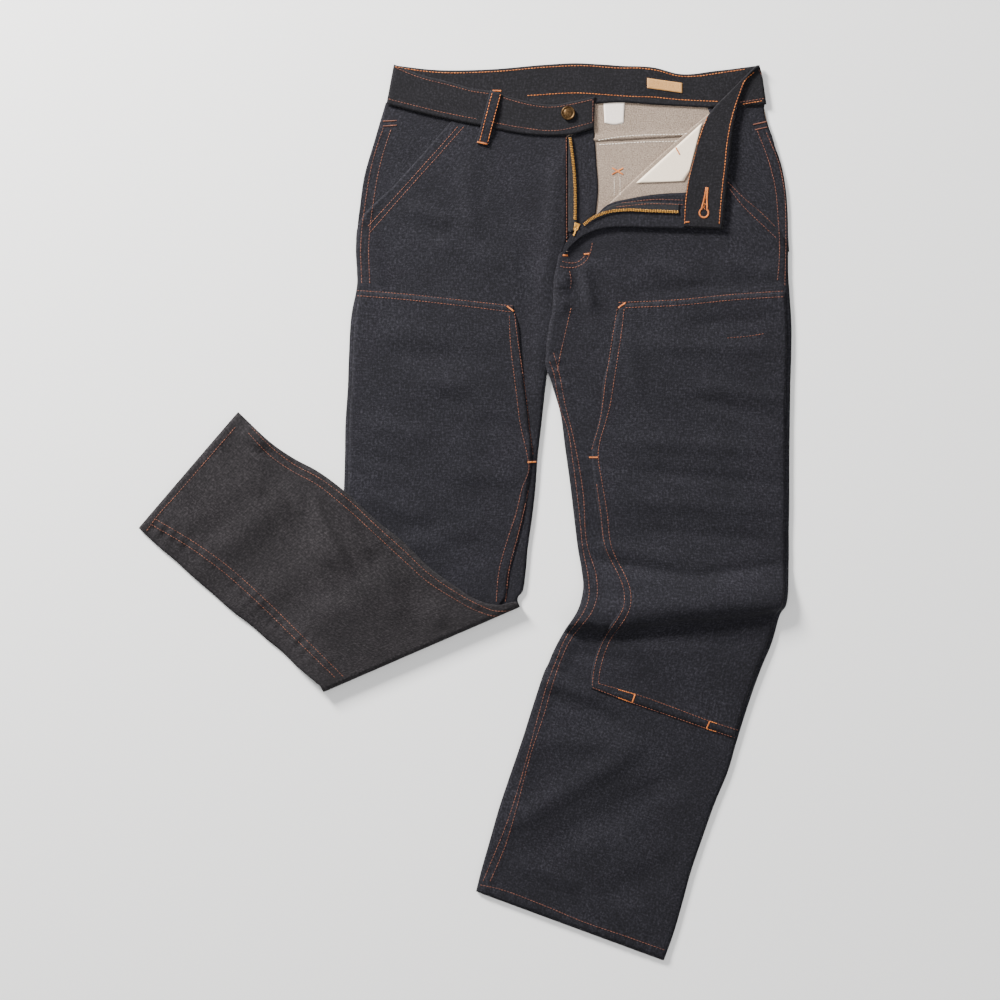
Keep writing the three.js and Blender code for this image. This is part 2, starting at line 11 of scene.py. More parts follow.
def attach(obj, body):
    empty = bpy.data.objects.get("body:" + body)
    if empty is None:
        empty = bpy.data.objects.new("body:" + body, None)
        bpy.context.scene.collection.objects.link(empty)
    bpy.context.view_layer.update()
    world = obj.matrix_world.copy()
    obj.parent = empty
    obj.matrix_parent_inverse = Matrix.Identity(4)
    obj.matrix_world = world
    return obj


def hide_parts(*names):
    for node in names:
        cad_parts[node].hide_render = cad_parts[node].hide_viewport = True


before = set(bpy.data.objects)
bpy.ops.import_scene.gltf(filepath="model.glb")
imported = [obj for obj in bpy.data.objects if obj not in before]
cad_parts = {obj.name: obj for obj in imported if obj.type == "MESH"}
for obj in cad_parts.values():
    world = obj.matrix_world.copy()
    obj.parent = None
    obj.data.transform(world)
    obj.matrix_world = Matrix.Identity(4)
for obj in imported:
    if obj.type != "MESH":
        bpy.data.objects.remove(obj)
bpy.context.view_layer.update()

mm = 0.001
rng = np.random.default_rng(11)
garment, pullTab = "garment", "pull_tab"


def clearSelection():
    for ob in bpy.context.selected_objects:
        ob.select_set(False)


clearSelection()

# The cloth in millimetres: thicknesses, gaps, turns and the size of a mesh cell
cloth = {
    "wall": 1.6,        # room each denim layer has
    "gap": 0.3,
    "fine": 1.15,       # thickness of the modelled denim
    "patch": 1.15,
    "band": 2.2,
    "thin": 1.0,
    "kneeTurn": 3.1,
    "flapTurn": 1.3,
    "bandTurn": 1.9,
    "slack": 2.5,       # a front may stand this far off its back
    "stackFall": 67.0,  # run over which the folded shin comes down to the floor
    "cell": 4.6,        # size of a mesh cell
}

# Heights of the middle of each layer over the floor, as the solids have them
backMid = cloth["wall"] / 2
frontMid = cloth["wall"] * 1.5 + cloth["gap"]
stackRise = 2 * cloth["kneeTurn"] + frontMid - backMid
flapMid = frontMid + 2 * cloth["flapTurn"]
bandMid = 1.2
bandFrontMid = 3.9
stripMid = bandFrontMid + 2 * cloth["bandTurn"]

# Rows across the legs: ax, ay, bx, by, rise in the middle, share where the knee patch ends
rightLegRows = [
    (-130.8, 318, 122.4, 321.6, 0.6, 0),
    (-129.6, 289.2, 111.6, 292.8, 0.8, 0),
    (-130.2, 266.4, 109.2, 242.4, 1, 0.784),
    (-135.6, 240, 105.6, 224.4, 1.4, 0.826),
    (-139.2, 187.2, 101.4, 190.8, 1.8, 0.858),
    (-140.4, 151.2, 96.6, 151.2, 2.4, 0.891),
    (-143.4, 104.4, 91.8, 106.8, 1.6, 0.934),
    (-144, 66, 87, 63.6, 2, 0.97),
    (-145.2, 27.6, 84.6, 30, 1.2, 0.96),
    (-148.8, -21.6, 80.4, -7.2, 0.8, 0.953),
    (-153.6, -70.8, 75.6, -40.8, 0.5, 0.937),
    (-159.6, -127.2, 72.6, -73.2, 0.2, 0.91),
    (-164.4, -171.6, 69.6, -94, 0, 0.91),
]
kneeFold = (-169.2, -216, 66, -114, 0, 0.91)
rightShinRows = [
    (-178.2, -204, 42, -111, 0, 0.9),
    (-199.2, -186.6, 14.4, -105, 0.4, 0.9),
    (-217.2, -169.2, -14.4, -87, 1, 0),
    (-236.4, -153.6, -44.4, -64.8, 2.4, 0),
    (-255.6, -136.8, -73.2, -36, 0.8, 0),
    (-276, -121.2, -102, -13.2, 3.4, 0),
    (-303.6, -97.2, -150, 30, 1.2, 0),
    (-326.4, -77.4, -178.8, 50.4, 4, 0),
    (-346.8, -58.8, -204, 63.6, 1.6, 0),
    (-366, -42.6, -229.2, 80.4, 3, 0),
    (-391.2, -19.2, -272, 120, 1, 0),
]
leftLegRows = [
    (111.3, 267.6, 387.6, 282, 0.6, 0),
    (110.1, 242.4, 388.8, 265.8, 0.8, 0.27),
    (106.5, 224.4, 391.2, 228, 1.2, 0.256),
    (102.3, 190.8, 391.2, 190.8, 1.8, 0.253),
    (103, 160, 390, 152.4, 2.2, 0.218),
    (114, 120, 389.4, 110.4, 1.6, 0.175),
    (120, 76.8, 388.8, 62.4, 2, 0.12),
    (126, 33.6, 388.8, 16.8, 2.6, 0.11),
    (131.4, -12, 388.2, -24, 2, 0.12),
    (135.6, -45.6, 388.2, -52.8, 3, 0.125),
    (139.8, -69.6, 387.6, -78, 7, 0.162),
    (141.6, -91.2, 386.4, -97.2, 12, 0.19),
    (136.8, -112.8, 384, -110.8, 11, 0.204),
    (121.2, -139.2, 376.8, -124.8, 3, 0.2),
    (112.8, -153.6, 368.4, -154.8, 1.4, 0.197),
    (105.6, -168, 354, -189.6, 3, 0.203),
    (99.6, -182.4, 339.6, -230.4, 1.4, 0.215),
    (94.8, -192, 326.4, -272.4, 2.4, 0.238),
    (82.8, -228, 315.6, -309.6, 1.4, 0),
    (68.4, -273.6, 298.8, -350.4, 2.6, 0),
    (54, -315.6, 284.4, -391.2, 1.4, 0),
    (40.8, -355.2, 271.2, -429.6, 2.4, 0),
    (28.8, -397.2, 260.4, -469.2, 1.4, 0),
    (19.2, -430.8, 249.6, -506.4, 1.6, 0),
    (13.2, -454.8, 238.2, -537.6, 0.8, 0),
]
# Rows at the hips: ax, ay, bx, by, then rise and bow sideways where they aren't 0
frontRightHip = [
    (-14.4, 471, 122.4, 451.6, 0, -3.4),
    (-42, 439.2, 122.4, 422.4, 0, -2),
    (-82.8, 393.6, 122.4, 380.4, 0.3, 0),
    (-128.2, 344, 122.4, 340.8, 0.5, 0),
]
frontLeftHip = [
    (118.8, 309.6, 321.6, 397.2),
    (115.6, 301.2, 386.2, 319),
    (112.4, 290.4, 387.2, 300, 0.4, 0),
]
backRightHip = [
    (-104, 457.2, 132.6, 445.8),
    (-117.6, 412, 132.6, 412),
    (-126, 367.2, 130.8, 370),
    (-129.5, 335, 124, 325),
    (-130.4, 308, 115, 299),
]
backLeftHip = [
    (133.4, 445.8, 364.5, 458.4),
    (133.4, 412, 380.5, 412),
    (131.6, 370, 386.4, 368),
    (124.8, 325, 387.6, 330),
    (115.8, 299, 387.6, 303),
]
flapRows = [
    (258, 340.8, 263.6, 346.8),
    (228, 341.4, 267, 379.2),
    (194.4, 343.2, 273, 408),
    (162, 343.2, 280.2, 434.4),
    (138, 334.2, 288.6, 463.2),
]
flapFold = (122.4, 318, 296.4, 481.2, 0, 4)


def fullRow(row):
    # a row that neither rises nor bows is written with four numbers
    return (*row, 0, 0)[:6]


# A station is one row with its heights: a, b, mid, rise, bow, onLeg, patch
def station(row, mid, slack=0.0, onLeg=0.0, hip=False):
    ax, ay, bx, by, rise, last = fullRow(row)
    bow, patch = (last, 0.0) if hip else (0.0, last)
    return [ax, ay, bx, by, mid, max(0.0, rise - slack), bow, onLeg, patch]


def turnStations(fold, low, high, reach, hip=False, steps=9):
    # the sheet turns over about a line that lies reach inside the fold's tip
    ax, ay, bx, by = fold[:4]
    out = np.array([by - ay, ax - bx]) / math.hypot(by - ay, ax - bx)
    if hip:
        out = -out
    radius = (high - low) / 2
    made = []
    for i in range(steps + 1):
        angle = math.pi * i / steps
        push = out * (radius * math.sin(angle) - reach)
        row = station(fold, low + radius * (1 - math.cos(angle)), hip=hip)
        row[0], row[1] = ax + push[0], ay + push[1]
        row[2], row[3] = bx + push[0], by + push[1]
        made.append(row)
    return made


def smoothStations(stations, spacing):
    # rows every so many millimetres on a smooth curve through the stations
    rows = np.array(stations, float)
    mid = np.stack([(rows[:, 0] + rows[:, 2]) / 2, (rows[:, 1] + rows[:, 3]) / 2, rows[:, 4]], 1)
    step = np.linalg.norm(np.diff(mid, axis=0), axis=1)
    at = np.concatenate([[0], np.cumsum(step)])
    slope = np.zeros_like(rows)
    secant = np.diff(rows, axis=0) / step[:, None]
    slope[1:-1] = (secant[:-1] * step[1:, None] + secant[1:] * step[:-1, None]) / (
        step[1:] + step[:-1]
    )[:, None]
    slope[0], slope[-1] = secant[0], secant[-1]
    # heights and shares never swing past a station
    level = secant[:-1, 4:] * secant[1:, 4:] > 0
    slope[1:-1, 4:] = np.where(level, slope[1:-1, 4:], 0)
    fine = []
    for i, run in enumerate(step):
        n = max(1, int(round(run / spacing)))
        t = (np.arange(n) / n)[:, None]
        h00, h10 = 2 * t**3 - 3 * t**2 + 1, t**3 - 2 * t**2 + t
        h01, h11 = 3 * t**2 - 2 * t**3, t**3 - t**2
        fine.append(h00 * rows[i] + h10 * run * slope[i] + h01 * rows[i + 1] + h11 * run * slope[i + 1])
    fine.append(rows[-1:])
    return np.concatenate(fine)


def smoothStep(x):
    x = np.clip(x, 0, 1)
    return x * x * (3 - 2 * x)


upperLegSide = {"x": -145.2, "y": 27.6, "lean": 0.0985}


def onUpperLeg(x, y):
    # 1 where the folded shin lies on the upper leg, falling to 0 beyond that leg's side seam
    seamX = upperLegSide["x"] - (upperLegSide["y"] - y) * upperLegSide["lean"]
    return smoothStep((x - seamX + cloth["stackFall"]) / cloth["stackFall"])


def panelGrid(rows, shares):
    # middle points of a panel: shares has one line of row shares for each row
    ax, ay, bx, by, mid, rise, bow, onLeg = (rows[:, i : i + 1] for i in range(8))
    length = np.hypot(bx - ax, by - ay)
    swell = 0.3 + 0.7 * np.power(np.clip(np.sin(np.pi * shares), 0, 1), 0.7)
    push = -4 * bow * shares * (1 - shares)
    x = ax + (bx - ax) * shares + push * (by - ay) / length
    y = ay + (by - ay) * shares + push * (ax - bx) / length
    z = mid + rise * swell + onLeg * stackRise * onUpperLeg(x, y)
    return np.stack([x, y, z], 2)


def evenShares(rows, start=0.0, end=1.0, cell=None):
    width = np.hypot(rows[:, 2] - rows[:, 0], rows[:, 3] - rows[:, 1]).max()
    n = max(3, int(round(width / (cell or cloth["cell"]))))
    t = np.linspace(0, 1, n + 1)[None, :]
    start = np.broadcast_to(np.asarray(start, float), len(rows))[:, None]
    end = np.broadcast_to(np.asarray(end, float), len(rows))[:, None]
    return start + (end - start) * t


def gridNormals(grid):
    down = np.gradient(grid, axis=0)
    across = np.gradient(grid, axis=1)
    n = np.cross(down, across)
    return n / np.maximum(np.linalg.norm(n, axis=2, keepdims=True), 1e-9)


def lineDistance(points, x, y):
    # distance from a line of points, and how far along it the nearest place is
    points = np.asarray(points, float)
    best = np.full(x.shape, 1e9)
    along = np.zeros(x.shape)
    run = 0.0
    for (x0, y0), (x1, y1) in zip(points[:-1], points[1:]):
        dx, dy = x1 - x0, y1 - y0
        size = math.hypot(dx, dy)
        t = np.clip(((x - x0) * dx + (y - y0) * dy) / size**2, 0, 1)
        far = np.hypot(x - x0 - t * dx, y - y0 - t * dy)
        near = far < best
        best = np.where(near, far, best)
        along = np.where(near, run + t * size, along)
        run += size
    return best, along


creaseScale = 1.8
seamShape = {"soft": 2.4, "wave": 2.1, "sway": 2.2, "drift": 17, "swell": 31, "pucker": 1.5}


def creases(x, y, table):
    # soft troughs and ridges: x0, y0, x1, y1, height, half width
    z = np.zeros(x.shape)
    for x0, y0, x1, y1, height, width in table:
        dx, dy = x1 - x0, y1 - y0
        size = math.hypot(dx, dy)
        along = ((x - x0) * dx + (y - y0) * dy) / size**2
        across = ((y - y0) * dx - (x - x0) * dy) / size
        ends = smoothStep(along / 0.35 + 0.3) * smoothStep((1 - along) / 0.35 + 0.3)
        z += creaseScale * height * np.exp(-((across / width) ** 2)) * ends
    return z


def seamRelief(x, y, points, width, height, pucker=0.35, seed=0.0, reach=13.0):
    # a felled seam stands up between its two stitch lines and puckers the cloth beside it
    far, along = lineDistance(points, x, y)
    ridge = height * smoothStep((width / 2 + seamShape["soft"] / 2 - far) / seamShape["soft"])
    sway = seamShape["sway"] * np.sin(along / seamShape["drift"] + seed)
    wave = np.sin(along / seamShape["wave"] + sway + seed)
    swell = 0.6 + 0.4 * np.sin(along / seamShape["swell"] + seed)
    return ridge + seamShape["pucker"] * pucker * wave * np.exp(-((far / reach) ** 2)) * swell


def makeMesh(name, verts, faces, uvs=None, smooth=True):
    mesh = bpy.data.meshes.new(name)
    mesh.from_pydata([tuple(v) for v in np.asarray(verts) * mm], [], [tuple(f) for f in faces])
    if uvs is not None:
        layer = mesh.uv_layers.new(name="UVMap")
        corner = np.zeros(len(mesh.loops), int)
        mesh.loops.foreach_get("vertex_index", corner)
        layer.data.foreach_set("uv", np.asarray(uvs)[corner].astype(float).ravel())
    mesh.update()
    if smooth:
        mesh.polygons.foreach_set("use_smooth", [True] * len(mesh.polygons))
    ob = bpy.data.objects.new(name, mesh)
    bpy.context.collection.objects.link(ob)
    return ob


madeCloth = {}


def clothSheet(name, grid, thickness, outside, inside=None, nodes=(), slot=None, held="laid",
               rests=(), outsideUp=1, edge=0.55, turned=(0, 0)):
    # a closed wall of cloth about a grid of middle points, with a UV map in metres;
    # turned: cells at the sides and at the hem where the inside shows the turned-in outside
    normals = gridNormals(grid)
    rows, cols = grid.shape[:2]
    half = np.full((rows, cols, 1), thickness / 2)
    for line in (half[0], half[-1], half[:, 0], half[:, -1]):
        line *= edge
    top, bottom = grid + normals * half, grid - normals * half
    verts = np.concatenate([top.reshape(-1, 3), bottom.reshape(-1, 3)])
    count = rows * cols
    index = np.arange(count).reshape(rows, cols)
    a, b = index[:-1, :-1].ravel(), index[1:, :-1].ravel()
    c, d = index[1:, 1:].ravel(), index[:-1, 1:].ravel()
    upper = np.stack([a, b, c, d], 1)
    lower = np.stack([a, d, c, b], 1) + count
    rim = np.concatenate([index[:, 0], index[-1, 1:], index[-2::-1, -1], index[0, -2:0:-1]])
    nextRim = np.roll(rim, -1)
    wall = np.stack([nextRim, rim, rim + count, nextRim + count], 1)
    acrossStep = np.linalg.norm(np.diff(grid, axis=1), axis=2)
    downStep = np.linalg.norm(np.diff(grid, axis=0), axis=2).mean(axis=1)
    u = np.concatenate([np.zeros((rows, 1)), np.cumsum(acrossStep, axis=1)], 1)
    u -= u[:, -1:] / 2
    v = np.concatenate([[0], np.cumsum(downStep)])[:, None] * np.ones((1, cols))
    uv = np.stack([u, v], 2).reshape(-1, 2) * mm
    ob = makeMesh(name, verts, np.concatenate([upper, lower, wall]), np.concatenate([uv, uv]))
    ob.data.materials.append(outside)
    if inside is not None:
        ob.data.materials.append(inside)
        pale = np.ones((rows - 1, cols - 1), int)
        pale[:, : turned[0]] = 0
        pale[:, cols - 1 - turned[0] :] = 0
        pale[rows - 1 - turned[1] :] = 0
        sides = [np.zeros(len(upper), int), pale.ravel()][:: 1 if outsideUp > 0 else -1]
        ob.data.polygons.foreach_set("material_index", np.concatenate([*sides, np.zeros(len(wall), int)]))
    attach(ob, garment)
    if nodes:
        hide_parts(*nodes)
    madeCloth[name] = ob
    return ob


# Finishes
def newMaterial(name):
    mat = bpy.data.materials.new(name)
    mat.use_nodes = True
    nodes, links = mat.node_tree.nodes, mat.node_tree.links
    return mat, nodes, links, nodes["Principled BSDF"]


def mathNode(nodes, links, operation, a, b):
    node = nodes.new("ShaderNodeMath")
    node.operation = operation
    for i, value in enumerate((a, b)):
        if isinstance(value, (int, float)):
            node.inputs[i].default_value = value
        else:
            links.new(value, node.inputs[i])
    return node.outputs[0]


def noiseNode(nodes, links, spot, scale, detail=2.0, rough=0.5):
    noise = nodes.new("ShaderNodeTexNoise")
    for socket, value in (("Scale", scale), ("Detail", detail), ("Roughness", rough)):
        noise.inputs[socket].default_value = value
    links.new(spot, noise.inputs["Vector"])
    return noise.outputs["Fac"]


def uvNoise(nodes, links, uv, scale, stretch=(1, 1, 1), detail=2.0, rough=0.6):
    place = nodes.new("ShaderNodeMapping")
    place.inputs["Scale"].default_value = stretch
    links.new(uv, place.inputs["Vector"])
    return noiseNode(nodes, links, place.outputs["Vector"], scale, detail, rough)


def colourRamp(nodes, links, value, stops, shader):
    # base colour: from the first stop's colour to the last one's, each stop a place and a colour
    ramp = nodes.new("ShaderNodeValToRGB")
    elements = ramp.color_ramp.elements
    for element, (place, colour) in zip(elements, (stops[0], stops[-1])):
        element.position, element.color = place, (*colour, 1)
    for place, colour in stops[1:-1]:
        elements.new(place).color = (*colour, 1)
    links.new(value, ramp.inputs["Fac"])
    links.new(ramp.outputs["Color"], shader.inputs["Base Color"])


def bumpNode(nodes, links, height, strength, depth, shader):
    bump = nodes.new("ShaderNodeBump")
    bump.inputs["Strength"].default_value = strength
    bump.inputs["Distance"].default_value = depth
    links.new(height, bump.inputs["Height"])
    links.new(bump.outputs["Normal"], shader.inputs["Normal"])


waveScale = 0.314   # of a wave texture whose ribs are a metre apart


def denimMaterial(name, dark, middle, light, look):
    # twill ribs, heathered yarns and slow changes of shade, all on the cloth's own UV map
    mat, nodes, links, shader = newMaterial(name)
    uv = nodes.new("ShaderNodeTexCoord").outputs["UV"]
    turn = nodes.new("ShaderNodeMapping")
    turn.inputs["Rotation"].default_value = (0, 0, look["twillTurn"])
    links.new(uv, turn.inputs["Vector"])
    twill = nodes.new("ShaderNodeTexWave")
    twill.inputs["Scale"].default_value = waveScale / look["twill"]
    twill.inputs["Distortion"].default_value = 1.2
    twill.inputs["Detail Scale"].default_value = 3.0
    links.new(turn.outputs["Vector"], twill.inputs["Vector"])
    rib = twill.outputs["Fac"]
    heather = uvNoise(nodes, links, uv, 1 / look["heather"], detail=2.5, rough=0.65)
    warp = uvNoise(nodes, links, uv, 1 / look["yarn"], (1, 0.16, 1))
    weft = uvNoise(nodes, links, uv, 1 / look["yarn"], (0.2, 1, 1))
    shade = uvNoise(nodes, links, uv, 1 / look["shade"], detail=3)
    mix = mathNode(nodes, links, "MULTIPLY", heather, look["heatherPart"])
    for part, share in ((warp, look["warpPart"]), (weft, look["weftPart"]), (rib, look["ribPart"])):
        mix = mathNode(nodes, links, "ADD", mix, mathNode(nodes, links, "MULTIPLY", part, share))
    offMiddle = mathNode(nodes, links, "SUBTRACT", shade, 0.5)
    slow = mathNode(nodes, links, "MULTIPLY", offMiddle, look["shadePart"])
    mix = mathNode(nodes, links, "ADD", mix, slow)
    start, end = look["ramp"]
    colourRamp(nodes, links, mix, [(start, dark), ((start + end) / 2, middle), (end, light)], shader)
    ribs = mathNode(nodes, links, "MULTIPLY", rib, look["ribHeight"])
    height = mathNode(nodes, links, "ADD", ribs, heather)
    bumpNode(nodes, links, height, look["bump"], look["depth"], shader)
    for socket, value in (
        ("Roughness", "rough"), ("Specular IOR Level", "shine"), ("Sheen Weight", "sheen"),
        ("Sheen Roughness", "sheenRough"),
    ):
        shader.inputs[socket].default_value = look[value]
    return mat


denimLook = {
    "twill": 0.0011, "twillTurn": math.radians(28), "heather": 0.0026, "yarn": 0.0016, "shade": 0.06,
    "heatherPart": 0.5, "warpPart": 0.2, "weftPart": 0.2, "ribPart": 0.1, "shadePart": 0.14,
    "ramp": (0.36, 0.66), "ribHeight": 0.6, "bump": 0.6, "depth": 0.0003, "rough": 0.9, "shine": 0.25,
    "sheen": 0.03, "sheenRough": 0.5,
}
insideLook = dict(
    denimLook, heather=0.0014, yarn=0.0009, ramp=(0.36, 0.62), bump=0.4, sheen=0.05, shadePart=0.08,
    twillTurn=math.radians(152),
)
pocketLook = dict(denimLook, twill=0.0007, heather=0.0016, ramp=(0.3, 0.7), bump=0.25, shadePart=0.2)
tapeLook = dict(denimLook, twill=0.0009, twillTurn=0.0, bump=0.6, rough=0.75)

denimOutside = denimMaterial(
    "denimOutside", (0.0015, 0.0014, 0.0027), (0.0058, 0.0055, 0.009), (0.0295, 0.028, 0.0365), denimLook,
)
# the same denim made lighter and browner: painted warm light on the folded shin
shinDenimPaintedLight = denimMaterial(
    "shinDenimPaintedLight", (0.0028, 0.0023, 0.0029), (0.0102, 0.0086, 0.0102), (0.038, 0.0335, 0.0365), denimLook,
)
# the same denim made darker: painted shade, against the light that the waistband catches
bandDenimPaintedShade = denimMaterial(
    "bandDenimPaintedShade", (0.0015, 0.0013, 0.0022), (0.0045, 0.0041, 0.006), (0.0205, 0.019, 0.0235), denimLook,
)
denimInside = denimMaterial(
    "denimInside", (0.1, 0.073, 0.053), (0.235, 0.178, 0.138), (0.38, 0.3, 0.24), insideLook,
)
pocketCloth = denimMaterial(
    "pocketCloth", (0.84, 0.68, 0.53), (0.93, 0.78, 0.62), (0.97, 0.84, 0.69), pocketLook,
)
zipCloth = denimMaterial(
    "zipCloth", (0.004, 0.004, 0.005), (0.01, 0.01, 0.012), (0.028, 0.027, 0.03), tapeLook,
)
tanCloth = denimMaterial(
    "tanCloth", (0.34, 0.16, 0.05), (0.5, 0.26, 0.09), (0.63, 0.36, 0.15), dict(pocketLook, bump=0.3),
)
whiteCloth = denimMaterial(
    "whiteCloth", (0.76, 0.66, 0.58), (0.87, 0.78, 0.71), (0.93, 0.86, 0.8), pocketLook,
)


threadLook = {"dye": 160, "strand": 2600, "bump": 0.5, "depth": 0.0002, "rough": 0.6}


def threadMaterial(name, deep, bright):
    # twisted thread: fine turns along each stitch and a slow change of dye
    mat, nodes, links, shader = newMaterial(name)
    spot = nodes.new("ShaderNodeTexCoord").outputs["Object"]
    dye = noiseNode(nodes, links, spot, threadLook["dye"])
    strand = noiseNode(nodes, links, spot, threadLook["strand"])
    colourRamp(nodes, links, dye, [(0.35, deep), (0.65, bright)], shader)
    bumpNode(nodes, links, strand, threadLook["bump"], threadLook["depth"], shader)
    shader.inputs["Roughness"].default_value = threadLook["rough"]
    return mat


rustThread = threadMaterial("rustThread", (0.075, 0.02, 0.011), (0.22, 0.07, 0.034))
orangeThread = threadMaterial("orangeThread", (0.36, 0.09, 0.012), (0.66, 0.2, 0.035))
paleThread = threadMaterial("paleThread", (0.62, 0.54, 0.46), (0.9, 0.82, 0.72))


def metalMaterial(name, deep, bright, rough, wear):
    # brass, stained in spots that are duller or shinier than the rest
    mat, nodes, links, shader = newMaterial(name)
    stain = noiseNode(nodes, links, nodes.new("ShaderNodeTexCoord").outputs["Object"], wear, detail=6)
    colourRamp(nodes, links, stain, [(0.3, deep), (0.68, bright)], shader)
    dull = nodes.new("ShaderNodeMapRange")
    dull.inputs["To Min"].default_value, dull.inputs["To Max"].default_value = rough
    links.new(stain, dull.inputs["Value"])
    links.new(dull.outputs["Result"], shader.inputs["Roughness"])
    shader.inputs["Metallic"].default_value = 1.0
    return mat


zipBrass = metalMaterial("zipBrass", (0.34, 0.15, 0.028), (0.74, 0.4, 0.1), (0.26, 0.46), 900)
oldBrass = metalMaterial("oldBrass", (0.02, 0.011, 0.005), (0.12, 0.07, 0.032), (0.38, 0.62), 420)
print("finishes made")


# Lines of the plan that seams and stitches share
slant = [(-14.4, 471), (-42, 439.2), (-82.8, 393.6), (-124.8, 342)]
leftSlant = [(285, 448), (321.6, 397.2), (376.8, 330)]
leftInseamOuter = [
    (104.4, 192), (114, 148.8), (122.4, 102), (129.6, 58.8), (136.8, 1.2), (141.6, -45.6), (145.2, -78),
    (147.6, -100.8), (143, -118), (128, -142), (117, -162), (110.4, -175.2), (98.4, -206.4), (90, -236.4),
    (70, -304), (50.4, -372), (21.6, -442.8),
]
shinOutseam = [
    (-375.6, -15), (-330, -42), (-296.4, -66), (-257.4, -99.6), (-212.4, -142.8), (-178.2, -175.2),
    (-148.8, -202.8),
]
shinInseam = [
    (-262, 112), (-236, 84), (-204, 62), (-178, 47), (-150, 25), (-102, -20), (-73.2, -49), (-44.4, -74),
    (-14.4, -95), (14.4, -110), (36, -117), (54, -116),
]
leftHem = [(16.8, -445.4), (28.8, -447.6), (92.4, -469.2), (141.6, -489.6), (190.8, -508.4), (240.6, -526)]
shinHem = [(-277.2, 103.2), (-314.4, 57.6), (-346.8, 20.4), (-368.4, -4.8), (-382.8, -25.2)]
rightSideHip = [
    (-93.6, 491), (-99.6, 470), (-114, 427), (-126, 367), (-130.8, 320), (-129.6, 289), (-130.2, 268),
]
leftSideHip = [
    (360, 491), (363.6, 468), (369, 448.8), (379.2, 416.4), (385.2, 384), (387.6, 331.2), (387.6, 282),
    (388.8, 268),
]


def shifted(points, across):
    # the line moved sideways, to its left as it runs when across is positive
    p = np.asarray(points, float)
    d = np.gradient(p, axis=0)
    n = np.stack([-d[:, 1], d[:, 0]], 1) / np.linalg.norm(d, axis=1, keepdims=True)
    return [tuple(q) for q in p + n * across]


# What lifts and puckers each panel where it shows: creases, seams and edges that drop to the layer below
frontRightForm = {
    "creases": [
        (24, 434, 60, 344, -1.6, 9), (-66, 368, -18, 344, 1.3, 8), (-74, 352, -24, 326, -0.9, 7),
        (114, 434, 96, 254, 1.3, 11), (72, 326, 78, 230, -1.5, 8), (90, 218, 87.6, 134, 1.0, 8),
        (-114, 338, -102, 266, 0.9, 9), (0, 420, 10, 330, 1.0, 12), (-40, 330, 60, 290, 0.8, 14),
        (-30, 140, 6, 122, -0.9, 7), (-60, 158, 10, 150, 0.8, 9), (-126, 110, -42, 86, 0.9, 10),
        (-130, 70, -60, 52, -0.8, 9), (-18, 50, 66, 38, 0.9, 11), (20, 110, 80, 92, -0.8, 10),
        (-78, -10, 42, -58, -0.9, 11), (-130, 20, -40, -10, 0.9, 12), (-110, 220, -20, 205, 0.7, 13),
        (-100, 190, 40, 182, -0.7, 12), (-20, 250, 40, 200, 0.6, 14), (-146, -60, 20, -20, 0.8, 12),
    ],
    "seams": [
        (shifted(slant, -6), 12, 0.9, 0.35, 0.4),
        (shifted(rightSideHip, 7), 13, 0.8, 0.4, 1.7),
        ([(122.4, 440), (122.4, 330)], 12, 0.6, 0.2, 2.6),
        ([(-130, 264), (57, 246)], 7, 0.2, 0.3, 3.1),
    ],
}
frontLeftForm = {
    "creases": [
        (198, 262, 360, 275, -1.5, 5), (210, 300, 282, 276, 1.0, 11), (324, 338, 360, 290, -1.2, 9),
        (300, 300, 378, 288, 1.0, 9), (192, 218, 210, 134, 0.9, 9), (270, 224, 384, 233, -1.2, 6),
        (210, 200, 378, 194, 1.0, 9), (270, 137, 384, 106, -1.8, 6), (282, 152, 384, 134, 1.2, 8),
        (174, 86, 378, 74, 1.0, 10), (198, 50, 384, 32, -1.1, 7), (174, 14, 378, 2, 1.0, 9),
        (210, -22, 384, -34, -1.0, 8), (144, -56, 270, -77, -2.6, 5), (270, -77, 390, -62, -2.0, 5),
        (150, -40, 280, -58, 1.2, 8), (96, -220, 188, -252, -2.2, 7), (90, -196, 162, -226, 1.6, 8),
        (78, -274, 210, -280, 1.3, 13), (42, -382, 222, -274, 1.9, 14), (90, -406, 270, -310, -1.6, 15),
        (162, -466, 258, -418, -1.2, 14), (60, -420, 140, -450, 1.2, 10), (180, -160, 300, -166, 1.2, 10),
        (120, -168, 200, -180, -1.4, 8), (114, 268, 129, 254, -3.4, 5), (131, 292, 142, 214, -2.4, 6),
        (120, 290, 117, 236, 2.2, 6), (140, 300, 152, 240, 2.0, 7), (160, 290, 175, 230, -1.0, 8),
    ],
    "seams": [
        (leftInseamOuter, 3, 0.2, 0.6, 0.9),
        (shifted(leftInseamOuter, 6.5), 12, 0.6, 0.35, 2.9),
        (shifted(leftSideHip, -7), 13, 0.8, 0.4, 0.6),
        (shifted(leftSlant, -6), 12, 0.9, 0.35, 1.2),
        (shifted(leftHem, -5), 9, 0.9, 0.4, 2.1),
        ([(192, 248), (382, 262)], 7, 0.2, 0.35, 1.3),
    ],
    "fold": [(116.4, -142.8), (186, -141.6), (268.8, -133.2), (349.2, -123.6), (374.4, -121.2)],
}
backForm = {
    "creases": [
        (-90, 420, 60, 400, 1.2, 22), (-120, 330, 80, 300, -1.0, 20), (-130, 180, 80, 190, 1.1, 24),
        (-140, 40, 70, 60, -1.2, 22), (-150, -60, 60, -30, 1.0, 18), (150, 400, 370, 380, 1.1, 22),
        (130, 300, 380, 290, -1.0, 20), (120, 140, 380, 150, 1.2, 24), (140, -40, 380, -60, -2.0, 10),
        (135, -10, 380, -30, 1.4, 12), (110, -180, 350, -220, 1.1, 20), (90, -260, 300, -330, -1.2, 22),
        (60, -330, 260, -420, 1.0, 20),
    ],
    "seams": [
        (leftInseamOuter, 3, 0.2, 0.5, 0.9),
        (shifted(leftSideHip, -7), 13, 0.6, 0.3, 0.6),
    ],
}
